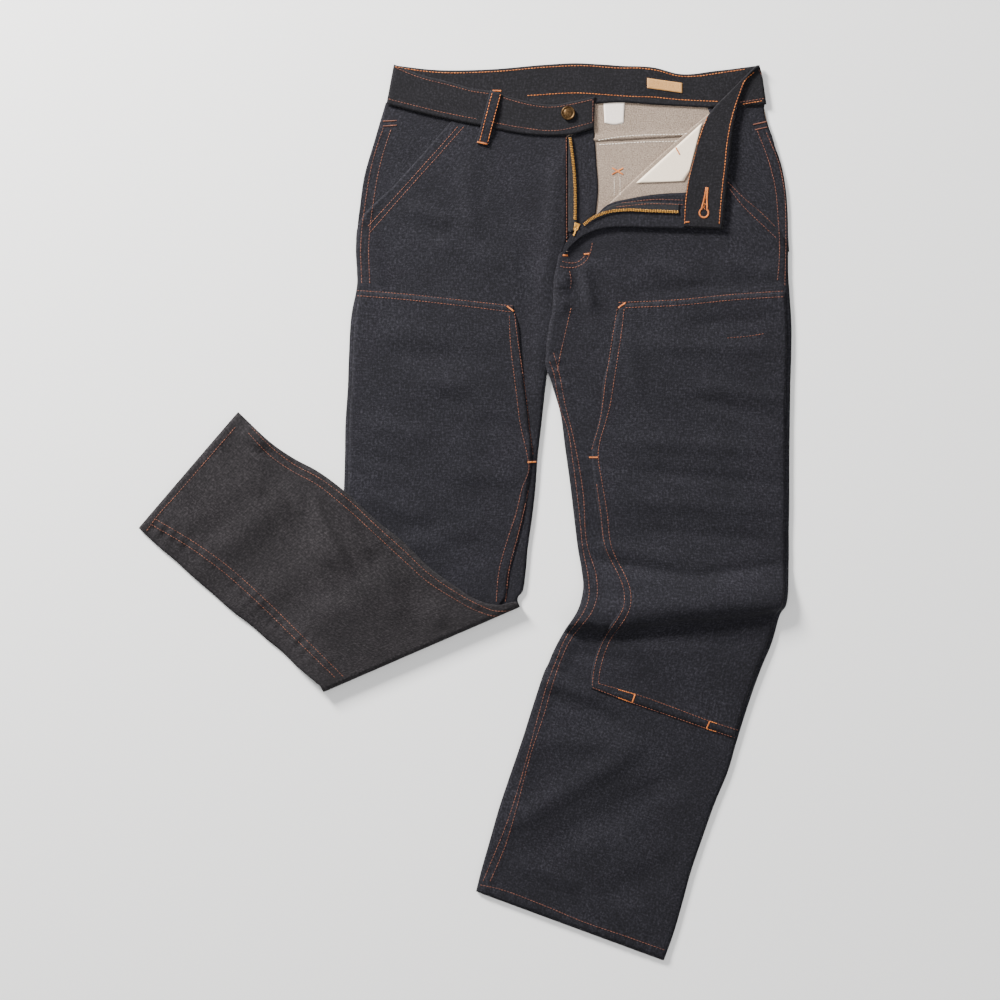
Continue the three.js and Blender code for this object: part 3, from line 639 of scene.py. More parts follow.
shinForm = {
    "creases": [
        (-243.6, 26.4, -216, -21.6, -2.4, 7), (-216, -14, -168, -105.6, -3.2, 7.5),
        (-198, -2, -144, -105.6, -2.8, 6.5),
        (-171.6, 10, -120, -81.6, -3.0, 7), (-144, 14.4, -114, -39.6, -1.8, 6),
        (-270, 98.4, -198, -39.6, 1.8, 8),
        (-210, 26.4, -156, -75.6, 2.6, 6), (-183.6, 14.4, -130.8, -81.6, 2.5, 6),
        (-300, 38.4, -198, -117.6, 1.5, 9),
        (-150, 20, -110, -60, 1.8, 6), (-102, -57.6, -78, -129.6, 1.4, 10),
        (-42, -105.6, -18, -153.6, 1.2, 9),
        (-70, -80, -50, -140, -1.1, 8), (6, -120, 42, -135.6, -1.8, 6), (-330, 20, -290, -30, -0.9, 12),
        (-290, 80, -262, 40, -1.0, 9), (-262, 100, -240, 76, 2.6, 9), (-262, 84, -244, 66, -1.2, 4),
        (-340, -10, -300, -60, 0.8, 10),
    ],
    "seams": [
        (shifted(shinOutseam, 3.5), 9, 0.9, 0.5, 0.2),
        (shinInseam, 9, 1.1, 0.5, 1.4),
        (shinOutseam, 3, 0.3, 0.5, 2.2),
        (shifted(shinHem, -5), 9, 0.8, 0.35, 0.8),
    ],
}


kneeRoll = {"across": [110, 250, 392], "height": [11.0, 9.0, 5.5], "steep": 7, "top": 10, "slope": 42}


def foldedOver(x, y, line):
    # a soft fold that leans down the leg: a steep side along the line, a long slope above it
    p = np.asarray(line)
    above = y - np.interp(x, p[:, 0], p[:, 1])
    height = np.interp(x, kneeRoll["across"], kneeRoll["height"])
    wave = 1.5 * np.sin(x / 23) + np.sin(x / 9 + 1)
    slope = 1 - smoothStep((above - kneeRoll["top"]) / kneeRoll["slope"])
    return height * smoothStep((above + wave) / kneeRoll["steep"]) * slope


edgeDrop = 0.75     # an edge comes down this far to the layer below
edgeRun = 9         # over this width
settle = 0.35       # how softly a trough flattens out on what carries it


def shaped(grid, rows, form, weight, dropA=None, dropB=None, least=None):
    # adds a form's creases and seams where weight is 1, and drops the edges to the layer below
    x, y = grid[..., 0], grid[..., 1]
    z = creases(x, y, form["creases"])
    for points, width, height, pucker, seed in form["seams"]:
        z += seamRelief(x, y, points, width, height, pucker, seed)
    if "fold" in form:
        z += foldedOver(x, y, form["fold"])
    toA = np.hypot(x - rows[:, 0:1], y - rows[:, 1:2])
    toB = np.hypot(x - rows[:, 2:3], y - rows[:, 3:4])
    for drop, away in ((dropA, toA), (dropB, toB)):
        if drop is not None:
            z -= drop[:, None] * (1 - smoothStep(away / edgeRun))
    made = grid.copy()
    height = made[..., 2] + z * weight[:, None]
    if least is not None:
        # the layer underneath carries the cloth: troughs flatten out on it
        over = (height - least) / settle
        height = np.where(weight[:, None] > 0, least + settle * np.logaddexp(0, over), height)
    made[..., 2] = height
    return made


def rowWeight(show, soften=6):
    # 1 on the rows that show and 0 on the others, with a soft change
    hidden = np.flatnonzero(~show)
    if not len(hidden):
        return np.ones(len(show))
    away = np.abs(np.arange(len(show))[:, None] - hidden[None, :]).min(axis=1)
    return smoothStep(away / soften)


def restHeight(rows, shares):
    # lowest middle height of a front, as it lies on its back panel
    under = rows.copy()
    under[:, 4] = backMid + cloth["fine"] + 0.3
    under[:, 5] = np.maximum(rows[:, 5] - cloth["slack"], 0)
    return panelGrid(under, shares)[..., 2]


def belowLine(y, line, soft=30):
    return smoothStep((line - y) / soft)


def patchSpan(stations):
    # smooth rows with the patch's share carried on, and the rows that the patch covers
    rows = np.array(stations, float)
    first, last = np.flatnonzero(rows[:, 8] > 0)[[0, -1]]
    rows[:first, 8], rows[last + 1 :, 8] = rows[first, 8], rows[last, 8]
    fine = smoothStations(rows, cloth["cell"])
    at = [int(np.abs(fine[:, :5] - rows[i, :5]).sum(axis=1).argmin()) for i in (first, last)]
    return fine, slice(at[0], at[1] + 1)


# The right leg: upper leg, turn at the knee, lower leg back over it
kneeReach = 5.8     # the turn's line lies this far inside the fold's tip
patchMove = 1.35    # from the middle of a front up to the middle of its knee patch
backShare = 0.25    # part of backForm's height that the back panels get
# the folded shin may sink by a part of the space under it, less a little room
shinRest = {"room": 0.12, "part": 0.9}
frontHigh = frontMid + 2 * cloth["kneeTurn"]
frontRightStations = (
    [station(row, frontMid, hip=True) for row in frontRightHip]
    + [station(row, frontMid) for row in rightLegRows]
    + turnStations(kneeFold, frontMid, frontHigh, kneeReach)
    + [station(row, backMid, slack=cloth["slack"], onLeg=1.0) for row in rightShinRows]
)
backRightStations = (
    [station(row, backMid, hip=True) for row in backRightHip]
    + [station(row, backMid, slack=cloth["slack"]) for row in rightLegRows[1:]]
    + turnStations(kneeFold, backMid, frontMid + stackRise, kneeReach)
    + [station(row, frontMid, onLeg=1.0) for row in rightShinRows]
)
frontRows, patchRows = patchSpan(frontRightStations)
frontLow = (frontRows[:, 7] < 0.01) & (frontRows[:, 4] < frontMid + 0.01)


def frontRightGrid(shares, rows, low):
    made = panelGrid(rows, shares)
    dropA, dropB = edgeDrop * belowLine(rows[:, 1], 318), edgeDrop * belowLine(rows[:, 3], 150)
    return shaped(made, rows, frontRightForm, rowWeight(low), dropA, dropB, restHeight(rows, shares))


frontRightShape = frontRightGrid(evenShares(frontRows), frontRows, frontLow)
clothSheet(
    "frontRight", frontRightShape, cloth["fine"], denimOutside, denimInside, ["front_right"],
    "denim_outside", rests=["backRight"], turned=(1, 4),
)
shares = evenShares(frontRows, 0.02, frontRows[:, 8])
patchShape = frontRightGrid(shares, frontRows, frontLow)
patchShape = (patchShape + gridNormals(patchShape) * patchMove)[patchRows]
clothSheet(
    "kneePatchRight", patchShape, cloth["patch"], denimOutside, denimInside, ["knee_patch_right"],
    "denim_outside", rests=["frontRight"],
)

backRows = smoothStations(backRightStations, cloth["cell"])
onShin = backRows[:, 7] > 0.99
backLow = (backRows[:, 7] < 0.01) & (backRows[:, 4] < backMid + 0.01)
backRightShape = panelGrid(backRows, evenShares(backRows))
backRightShape = shaped(backRightShape, backRows, backForm, rowWeight(backLow) * backShare)
shinUnder = (
    np.minimum(backRows[:, 5:6], cloth["slack"]) + frontMid - backMid - cloth["fine"] - shinRest["room"]
)
shinDrop = np.full(len(backRows), edgeDrop)
backRightShape = shaped(
    backRightShape, backRows, shinForm, rowWeight(onShin), shinDrop, shinDrop,
    panelGrid(backRows, evenShares(backRows))[..., 2] - shinUnder * shinRest["part"],
)
# its outside shows on the folded shin, in the denim with painted warm light
clothSheet(
    "backRight", backRightShape, cloth["fine"], shinDenimPaintedLight, denimInside, ["back_right"], "denim_outside",
    outsideUp=-1, turned=(1, 4),
)

# The left leg, with the corner of its front turned back along the fly
frontLeftStations = (
    [station(row, flapMid, hip=True) for row in flapRows]
    + turnStations(flapFold, frontMid, flapMid, 2.1, hip=True)[::-1]
    + [station(row, frontMid, hip=True) for row in frontLeftHip]
    + [station(row, frontMid) for row in leftLegRows]
)
leftRows, leftPatchRows = patchSpan(frontLeftStations)
leftLow = leftRows[:, 4] < frontMid + 0.01


centreLap = {"top": (322, 8), "crotch": (178, 24), "reach": 20, "over": 5.5, "up": 1.5}


def frontLeftGrid(shares, rows, low):
    # its centre edge laps over the right front as far as the crotch
    made = panelGrid(rows, shares)
    aY = rows[:, 1]
    lap = low * (1 - belowLine(aY, *centreLap["crotch"])) * belowLine(aY, *centreLap["top"])
    toA = np.hypot(made[..., 0] - rows[:, 0:1], made[..., 1] - rows[:, 1:2])
    near = (1 - smoothStep(toA / centreLap["reach"])) * lap[:, None]
    made[..., 0] -= centreLap["over"] * near
    made[..., 2] += centreLap["up"] * near
    dropA, dropB = edgeDrop * belowLine(rows[:, 1], 150), edgeDrop * belowLine(rows[:, 3], 330)
    return shaped(made, rows, frontLeftForm, rowWeight(low), dropA, dropB, restHeight(rows, shares))


clothSheet(
    "frontLeft", frontLeftGrid(evenShares(leftRows), leftRows, leftLow), cloth["fine"], denimOutside,
    denimInside, ["front_left"], "denim_outside", rests=["backLeft"], turned=(1, 4),
)
leftPatchShape = frontLeftGrid(evenShares(leftRows, leftRows[:, 8], 0.98), leftRows, leftLow)
leftPatchShape = (leftPatchShape + gridNormals(leftPatchShape) * patchMove)[leftPatchRows]
clothSheet(
    "kneePatchLeft", leftPatchShape, cloth["patch"], denimOutside, denimInside, ["knee_patch_left"],
    "denim_outside", rests=["frontLeft"],
)
backLeftStations = [station(row, backMid, hip=True) for row in backLeftHip]
backLeftStations += [station(row, backMid, slack=cloth["slack"]) for row in leftLegRows]
backLeftRows = smoothStations(backLeftStations, cloth["cell"])
backLeftShape = shaped(
    panelGrid(backLeftRows, evenShares(backLeftRows)), backLeftRows, backForm,
    np.full(len(backLeftRows), backShare),
)
# at the knee fold the side seams carry the back up with the front
backX, backY = backLeftShape[..., 0], backLeftShape[..., 1]
fromSide = np.minimum(backX - backX.min(axis=1, keepdims=True), backX.max(axis=1, keepdims=True) - backX)
carried = {"part": 0.94, "lag": 2.2, "reach": 45}
foldUnder = carried["part"] * foldedOver(backX, backY - carried["lag"], frontLeftForm["fold"])
backLeftShape[..., 2] += foldUnder * (1 - smoothStep(fromSide / carried["reach"]))
clothSheet(
    "backLeft", backLeftShape, cloth["fine"], denimOutside, denimInside, ["back_left"], "denim_outside",
    outsideUp=-1, turned=(1, 4),
)

# Smaller pieces: ax, ay, bx, by of each row, then rise and bow where they aren't 0
facingRightRows = [
    (-93, 490.6, -15.6, 471.6, 0, -2),
    (-105.6, 448, -43.6, 439.8),
    (-118.8, 402, -84.4, 393.6),
    (-127.2, 346, -125.8, 343.6),
]
facingLeftRows = [
    (301, 485.5, 360, 492.5),
    (303, 479.5, 358.6, 487.5),
    (310, 441, 370, 443),
    (323.6, 398.6, 383, 394),
    (351.4, 364.4, 386, 366),
    (378.8, 331.8, 387, 334),
    (380, 312, 388.2, 312),
]
yokeRightRows = [
    (-92.6, 492.4, -103.2, 460),
    (-40.8, 489, -47, 455.6),
    (31.2, 491.4, 30, 452),
    (90, 496.8, 90, 449),
    (132.6, 498.4, 132.6, 447.4),
]
yokeLeftRows = [
    (133.4, 498.4, 133.4, 447.4),
    (186, 495.8, 186, 450.4),
    (228, 493.2, 228, 452.6),
    (255.6, 491.4, 257, 454.4),
    (307.2, 489, 311, 457.2),
    (357.4, 490, 364.6, 460.4),
]
bandBackRows = [
    (-84, 535.6, -91.6, 493.2),
    (-38.4, 530.4, -40.8, 484.6),
    (32.4, 531, 31.2, 485),
    (96, 536.4, 90, 489.4),
    (138, 538.2, 141.6, 491.5),
    (164, 536.8, 164.5, 493),
    (186, 535.2, 186, 493.9),
    (228, 532.8, 228, 491.3),
    (255.6, 525.6, 255.6, 489.8),
    (302.4, 529.2, 307.2, 487.4),
    (350.4, 535.2, 357.6, 489),
]
bandRightRows = [
    (-85.2, 536.4, -93.6, 492),
    (-54, 524.4, -60, 483),
    (-16.8, 514.8, -21.6, 474),
    (8.4, 507.6, 4, 468.6),
    (32.4, 504, 27, 464.4),
    (55.2, 496.8, 52, 459),
    (106.8, 488.4, 104, 453.8),
    (126, 491.4, 126, 454.8),
    (156, 498, 154.8, 463.2),
]
shieldRows = [
    (122.9, 450, 154.8, 460.6),
    (122.9, 422, 157.4, 422.4),
    (122.9, 380, 159.6, 390),
    (122.9, 323, 157, 358),
]
flyFacingRows = [
    (118.4, 308.8, 116.8, 311.4),
    (121.6, 312.4, 118.6, 317.6),
    (127.6, 319.4, 124.6, 327.6),
    (134.4, 325.4, 134.6, 337.6),
    (141, 330.4, 144, 345),
    (152, 335.6, 155, 353),
    (166, 339.4, 168, 366),
    (196, 341, 199.2, 375.6),
    (228, 339.8, 229.2, 380.4),
    (265, 339, 266, 382.6),
]
tapeRightRows = [
    (123.9, 449, 128, 450),
    (123.9, 416, 131.4, 416),
    (123.9, 386, 134, 386),
    (123.9, 335.6, 134, 336.6),
]
tapeLeftRows = [
    (153, 348.6, 154, 352.4),
    (179, 357.6, 176, 367),
    (210, 360, 209, 371),
    (256, 357, 257, 369),
]
pocketBagRows = [
    (205, 394, 284, 466),
    (233, 395, 276.4, 438),
    (262, 396.4, 268, 407),
]
labelRows = [
    (218.4, 520.2, 218.4, 508.2),
    (260.4, 514.2, 260.4, 502.2),
]
careRows = [
    (166, 494.6, 167.4, 466.6),
    (178.8, 494, 178.8, 464.4),
    (191.6, 493.4, 190.4, 466.6),
]


def stretched(table, atA=0.0, atB=0.0):
    # the rows made longer at their ends, to reach under or over a neighbour
    made = []
    for ax, ay, bx, by, rise, bow in map(fullRow, table):
        size = math.hypot(bx - ax, by - ay)
        ux, uy = (bx - ax) / size, (by - ay) / size
        made.append((ax - ux * atA, ay - uy * atA, bx + ux * atB, by + uy * atB, rise, bow))
    return made


def edgeLift(grid, rows, side, amount, run):
    # raises one edge by an amount, which may be a function of that edge's x
    at = 0 if side == "a" else 2
    if callable(amount):
        amount = amount(rows[:, at])
    away = np.hypot(grid[..., 0] - rows[:, at : at + 1], grid[..., 1] - rows[:, at + 1 : at + 2])
    grid[..., 2] += np.asarray(amount).reshape(-1, 1) * (1 - smoothStep(away / run))
    return grid


def plainGrid(table, mid, cell=3.0, form=None, lifts=()):
    rows = smoothStations([station(row, mid, hip=True) for row in table], cell)
    made = panelGrid(rows, evenShares(rows, cell=cell))
    if form:
        made = shaped(made, rows, form, np.ones(len(rows)))
    for side, amount, run in lifts:
        made = edgeLift(made, rows, side, amount, run)
    return made


def plainSheet(name, table, finish, node, slot, mid, thickness, form=None, cell=3.0, lifts=(), under=None,
               **more):
    # under: the cloth's other side, where the face that lies down is unlike the one that shows
    grid = plainGrid(table, mid, cell, form, lifts)
    clothSheet(name, grid, thickness, finish, under, [node], slot, outsideUp=-1, **more)


yokeForm = {"creases": [(20, 500, 70, 470, 0.3, 12), (150, 495, 200, 450, 0.3, 14)], "seams": []}
plainSheet(
    "backYokeRight", stretched(yokeRightRows, 2, 4), denimInside, "back_yoke_right", "denim_inside",
    mid=backMid, thickness=cloth["fine"], form=yokeForm, rests=["backRight"], under=denimOutside,
)
plainSheet(
    "backYokeLeft", stretched(yokeLeftRows, 2, 4), denimInside, "back_yoke_left", "denim_inside",
    mid=backMid, thickness=cloth["fine"], form=yokeForm, rests=["backLeft"], under=denimOutside,
    lifts=[("b", lambda x: 1.2 * belowLine(x, 292), 11)],
)
facingMid = 1.95
facingForm = {"creases": [(-110, 470, -60, 430, 0.5, 14), (330, 470, 372, 410, 0.4, 12)], "seams": []}
plainSheet(
    "pocketFacingRight", stretched(facingRightRows, 2, 10), denimOutside, "pocket_facing_right",
    "denim_outside", mid=facingMid, thickness=cloth["thin"], form=facingForm, rests=["backRight"],
)
plainSheet(
    "pocketFacingLeft", stretched(facingLeftRows, 10, 0.5), denimOutside, "pocket_facing_left",
    "denim_outside", mid=facingMid, thickness=cloth["thin"], form=facingForm, rests=["backLeft"],
)
bandForm = {"creases": [(-60, 500, 20, 490, 0.3, 9), (160, 520, 240, 512, 0.25, 9)], "seams": []}
plainSheet(
    "waistbandBack", stretched(bandBackRows, 0, 3), bandDenimPaintedShade, "waistband_back", "waistband_denim",
    mid=bandMid, thickness=cloth["band"], form=bandForm, rests=["backYokeRight", "backYokeLeft"],
    lifts=[("b", lambda x: 1.5 * smoothStep((x - 60) / 30), 9)],
)
plainSheet(
    "waistbandFrontRight", stretched(bandRightRows, 0, 3), bandDenimPaintedShade, "waistband_front_right",
    "waistband_denim", mid=bandFrontMid, thickness=cloth["band"], form=bandForm, rests=["frontRight"],
    lifts=[("b", 0.7, 9)],
)


def curledEdge(table, mid, turn):
    # a band whose a edge is rolled through a quarter turn, up for turn 1 and down for turn -1
    rows = smoothStations([station(row, mid, hip=True) for row in table], 3.0)
    width = np.hypot(rows[:, 2] - rows[:, 0], rows[:, 3] - rows[:, 1])[:, None]
    near = np.array([0, 0.12, 0.45, 0.95, 1.5, cloth["bandTurn"]])
    rest = np.linspace(0, 1, 15)[None, 1:]
    near = np.minimum(near[None, :], width * np.linspace(0, 0.5, 6)[None, :])
    away = np.concatenate([near, near[:, -1:] + (width - near[:, -1:]) * rest], 1)
    made = panelGrid(rows, away / width)
    radius = cloth["bandTurn"]
    roll = radius - np.sqrt(np.maximum(radius**2 - np.maximum(radius - away, 0) ** 2, 0))
    made[..., 2] += turn * roll * foldPart(rows)[:, None]
    return made


def foldPart(rows):
    return 1 - belowLine(rows[:, 1], 478, 10)


stripRows = [
    (350.0, 534.6, 352.2, 534.0), (338.4, 523.2, 343.6, 527.0), (325.2, 510.0, 337.2, 518.6),
    (312.0, 496.8, 331.6, 503.0), (299.4, 484.2, 327.8, 492.0), (291.6, 474.0, 325.0, 480.0),
    (282.0, 453.6, 320.6, 455.0), (276.0, 428.4, 318.0, 432.0), (271.2, 410.4, 316.0, 414.0),
    (265.8, 390.0, 313.6, 392.0), (263.6, 368.4, 311.4, 366.0), (261.6, 340.8, 308.4, 338.4),
]
bandSideRows = [
    (350.0, 534.6, 352.8, 535.6), (338.4, 523.2, 355.2, 526.8), (325.2, 510.0, 357.6, 513.6),
    (312.0, 496.8, 359.4, 501.6), (299.8, 484.6, 361.2, 488.4),
]
stripCreases = [(300, 470, 322, 400, 0.5, 9), (270, 420, 300, 350, -0.4, 9)]
stripGrid = curledEdge(stripRows, stripMid, -1)
stripGrid[..., 2] += creases(stripGrid[..., 0], stripGrid[..., 1], stripCreases)
clothSheet(
    "waistbandFrontLeft", stripGrid, cloth["band"], bandDenimPaintedShade, None, ["waistband_front_left"],
    "waistband_denim", held="folded", rests=["frontLeft"],
)
clothSheet(
    "waistbandSideLeft", curledEdge(bandSideRows, bandFrontMid, 1), cloth["band"], bandDenimPaintedShade, None, (),
    "waistband_denim", rests=["frontLeft"],
)
plainSheet(
    "flyShield", stretched(shieldRows, 9, 0), denimOutside, "fly_shield", "denim_outside",
    mid=1.95, thickness=cloth["thin"], rests=["backLeft"],
)
plainSheet(
    "zipTapeRight", tapeRightRows, zipCloth, "zip_tape_right", "zip_cloth",
    mid=3.75, thickness=0.7, cell=1.5, rests=["frontRight"],
)
plainSheet(
    "flyFacing", flyFacingRows, denimOutside, "fly_facing", "denim_outside",
    mid=7.0, thickness=cloth["thin"], rests=["frontLeft"],
)
plainSheet(
    "zipTapeLeft", tapeLeftRows, zipCloth, "zip_tape_left", "zip_cloth",
    mid=8.2, thickness=0.7, cell=1.5, rests=["flyFacing"],
)
plainSheet(
    "pocketBagLeft", pocketBagRows, pocketCloth, "pocket_bag_left", "pocket_cloth",
    mid=6.9, thickness=0.8, rests=["frontLeft"],
)
plainSheet(
    "waistbandLabel", labelRows, tanCloth, "waistband_label", "label_tan",
    mid=2.85, thickness=0.5, cell=1.5, rests=["waistbandBack"],
)
plainSheet(
    "careLabel", careRows, whiteCloth, "care_label", "label_white",
    mid=2.1, thickness=0.4, cell=2.0, rests=["backYokeLeft"],
)

# The belt loop: its height is given at shares of its length
loopTable = [(0, 6.5), (0.12, 6.7), (0.3, 8.0), (0.5, 8.2), (0.66, 7.6), (0.78, 6.4), (0.9, 5.2), (1, 4.9)]
beltLoop = {
    "top": np.array([37, 503.0]), "end": np.array([20.4, 440.4]), "width": 14.0, "thick": 1.9, "round": 1.6,
}
loopRun = beltLoop["end"] - beltLoop["top"]
loopSide = np.array([-loopRun[1], loopRun[0]]) / np.linalg.norm(loopRun)
loopGrid = []
for along in np.linspace(0, 1, 33):
    lift = np.interp(along, *zip(*loopTable))
    middle = beltLoop["top"] + loopRun * along
    loopGrid.append([
        [*(middle + loopSide * side * beltLoop["width"]), lift - beltLoop["round"] * abs(side) ** 3]
        for side in np.linspace(-0.5, 0.5, 9)
    ])
clothSheet(
    "beltLoopFront", np.array(loopGrid), beltLoop["thick"], denimOutside, None, ["belt_loop_front"],
    "denim_outside", rests=["waistbandFrontRight"],
)
print("sheets made")

# Sewing: every stitch lies on the cloth that shows at its place
bandBackTop = [
    [
        (-84, 533.3), (-37.2, 527.3), (33.6, 527.9), (97.2, 533.3), (139.2, 535.1), (187.2, 532.1),
        (207.6, 532.1), (229.2, 529.7), (256.8, 522.5), (278.4, 522.5), (303.6, 526.1), (336, 530.9),
    ],
]
bandBackSeam = [
    [
        (74.4, 499.2), (141.6, 502.2), (158.4, 501.1), (204, 498), (226.8, 497.4), (250.8, 494.9),
        (307.2, 492),
    ],
    [(332.4, 488.4), (356.4, 492.6)],
]
bandRightTop = [
    [(-82.2, 531.6), (-54, 520.4), (-16.8, 510.8), (8.4, 504), (28.8, 501)],
    [(45.6, 496.4), (55.2, 493.4), (106.8, 485), (126, 488), (153, 494)],
]
bandRightSeam = [
    [(-91.8, 494.6), (-21.6, 477.6), (14.4, 470.6)],
    [(30, 467.3), (64.8, 461), (106.8, 456.7), (153, 466.6)],
    [(153.4, 493.2), (153.1, 467.3)],
]
hipRight = [
    [(-97.7, 460.8), (-109.2, 426), (-120, 367.2), (-124.8, 320.4), (-123.6, 273.6)],
    [(-88.8, 458.4), (-99.6, 424.8), (-110.4, 367.2), (-115.2, 320.4), (-114, 273.6)],
]
hipLeft = [
    [(350.4, 457.2), (364.3, 420), (372, 389.3), (375, 358.8), (376.6, 302.4), (374.4, 277.2)],
    [(361.2, 455.2), (376.6, 416.9), (382.8, 386.4), (384.6, 343.2), (383.4, 271.2)],
]
slantRight = [
    [(-8.4, 462), (-36, 430.8), (-76.8, 385.2), (-116.4, 342)],
    [(-1.2, 462), (-28.8, 430.8), (-69.6, 385.2), (-114, 334.8)],
]
slantLeft = [
    [(314.4, 396), (333.6, 376.8), (355.2, 358.8), (372, 342)],
    [(316.8, 387.6), (333.6, 366), (353.5, 346.8), (373.2, 328.1)],
]
fly = [
    [(121.4, 450), (121.9, 374.4), (121.9, 322.8)],
    [(113.6, 294.5), (123.6, 292.6), (137.4, 295.2), (146.4, 302.9), (150.5, 312), (152.8, 322.8)],
    [(116, 300.5), (128.4, 298.3), (137.4, 300.8), (143.5, 306.7)],
]
rise = [
    [(125.2, 289.2), (127.2, 278.4), (125.4, 264)],
    [(127.2, 244.8), (121.2, 218.4), (114, 187.2), (110.4, 168)],
]
inseamLeft = [
    [
        (101.4, 180.5), (106.8, 165.1), (109.8, 146.8), (114, 124.8), (122.4, 102), (129.6, 58.8),
        (136.8, 1.2),
        (141.6, -45.6), (147.6, -78), (147.8, -104), (141.4, -120), (130, -136.4), (119.6, -153),
        (110.4, -175.2),
        (98.4, -206.4), (90, -236.4), (50.4, -372), (21.6, -442.8),
    ],
    [
        (106.1, 191.2), (112.8, 166.8), (119.8, 130), (130.8, 85.2), (141.6, 22.8), (146.4, -39.6),
        (157.6, -79), (157.6, -103), (151, -120), (139, -136), (126.4, -153), (118, -170), (108, -196.8),
        (93.6, -246), (81.6, -280.8), (60.6, -358.8), (48, -400.8), (30, -442.8),
    ],
]
outseamShin = [
    [
        (-375.6, -15), (-330, -42), (-296.4, -66), (-257.4, -99.6), (-212.4, -142.8), (-178.2, -175.2),
        (-154.8, -198),
    ],
    [
        (-370.8, -8.4), (-326.4, -34.8), (-291.6, -58.8), (-252.6, -92.4), (-207.6, -135.6), (-174, -168),
        (-145.2, -196.8),
    ],
]
inseamShin = [
    [
        (-255.6, 101.4), (-226.8, 73.2), (-202.8, 55.8), (-176.4, 42), (-147.6, 21.6), (-102, -19.8),
        (-73.2, -45.6), (-44.4, -72.6), (-14.4, -93.6), (14.4, -109.8), (36, -118.2), (54, -118.2),
    ],
    [
        (-259.2, 94.8), (-231.6, 66), (-205.2, 48), (-178.8, 34.2), (-150, 12), (-102, -31.2),
        (-73.2, -57.6),
        (-44.4, -83.4), (-14.4, -102.6), (14.4, -118.2), (33.6, -124.2), (51.6, -123.6),
    ],
]
hemShin = [
    [(-274.8, 102), (-314.4, 56.4), (-346.8, 19.2), (-368.4, -4.8), (-381.6, -22.8)],
]
hemLeft = [
    [(18, -447), (28.8, -448.8), (92.4, -470.4), (141.6, -490.8), (190.8, -507.6), (239.4, -525)],
]
patchRight = [
    [(-129.6, 265.4), (-78, 261.6), (-6, 253.8), (57.6, 246.6)],
    [(-129.6, 259.2), (-78, 255), (-6, 247.2), (55.2, 239.6)],
    [(59.4, 238.8), (62.4, 212.4), (67.8, 175.8), (74.4, 128.4), (76.2, 110.4), (81.6, 68.4)],
    [(76, 26.4), (70.8, 2.4), (63.6, -27.6), (54, -63.6), (48, -111.6)],
    [
        (53.2, 235.6), (54.7, 200.4), (58.6, 166.8), (62.4, 136.1), (65.4, 110.4), (75, 66), (76.8, 54),
        (67.8, 26.4), (62.4, 2.4), (50.4, -34.8), (40.8, -70.8), (37.2, -111.6),
    ],
]
patchLeft = [
    [(183.6, 251), (258, 254.4), (318, 260.4), (381.6, 264.6)],
    [(192, 244.6), (258, 247.7), (318, 253.7), (381.6, 258)],
    [
        (182.4, 243.6), (177.2, 212.4), (172.7, 182.4), (168, 154.8), (165, 129.6), (162, 110.4),
        (151.8, 74.4),
    ],
    [
        (157.6, 33.6), (162.4, 1.2), (169.4, -45.6), (175.6, -59), (183.8, -75.2), (189.8, -93),
        (189.6, -112),
        (183, -126), (175, -138), (166, -153.8), (158.8, -172), (154, -193), (152.6, -208.8),
    ],
    [
        (190.8, 243.6), (187.9, 218.4), (183.4, 188.4), (178.8, 159), (172.8, 123.6), (169.2, 110.4),
        (159.6, 72), (164.6, 33.6), (170, 1.2), (176.8, -45.6), (183.4, -60), (191.6, -76), (197.6, -94),
        (197.4, -112), (190.4, -128), (181.8, -140.6), (173, -155), (166, -173), (161, -194),
        (159.8, -205.2),
    ],
    [(152.4, -210), (199.2, -228), (249.6, -245.4), (289.2, -259.2), (324, -270.6)],
    [(159.6, -205.2), (203.4, -217.8), (249.6, -234), (291, -249.6), (327.6, -261.6)],
]
facingFly = [
    [(186.7, 369.6), (226.8, 374), (261.6, 373.2)],
    [(180.6, 364.8), (218.4, 368.6), (261.6, 367.9)],
]
stripEdges = [
    [(290.4, 474), (281.6, 450.6), (273.6, 420), (267.6, 396), (263.8, 366), (262.8, 344.4)],
    [
        (346.8, 526.8), (336.7, 518.4), (327.6, 498), (319.9, 474), (313.7, 442.8), (310.8, 412.8),
        (308, 388.8), (305.3, 358.8), (304.2, 344.4),
    ],
]
sideBandLeft = [
    [(328.8, 490.8), (358.8, 495.4)],
    [(351.6, 530.4), (357.6, 519.6)],
]
windowYoke = [
    [(159.6, 445.7), (188.4, 450), (266.4, 453)],
    [(160.8, 440.4), (210, 443.4), (254.4, 444.6)],
]
windowPocket = [
    [(179, 402), (179, 379.2)],
    [(186, 402), (186, 379.2)],
]
faint = [
    [(313.8, 208.3), (344.2, 211.2), (358.4, 213.7)],
]
loop = [
    [(32.6, 501.6), (17.8, 444)],
    [(42.7, 500.4), (27.4, 442.8)],
]


def surfaceOf(pieces):
    verts, faces = [], []
    for ob in pieces:
        first = len(verts)
        verts += [v.co.copy() for v in ob.data.vertices]
        faces += [[first + i for i in polygon.vertices] for polygon in ob.data.polygons]
    return BVHTree.FromPolygons(verts, faces)


clothTree = surfaceOf(madeCloth.values())


def dropped(x, y, under=False):
    # where a plumb line through x, y in millimetres first meets the cloth, from above or below
    way = Vector((0, 0, 1 if under else -1))
    start = Vector((x * mm, y * mm, -way.z))
    spot, normal = clothTree.ray_cast(start, way)[:2]
    if spot is None:
        return None, None
    return spot, normal if normal.dot(way) < 0 else -normal


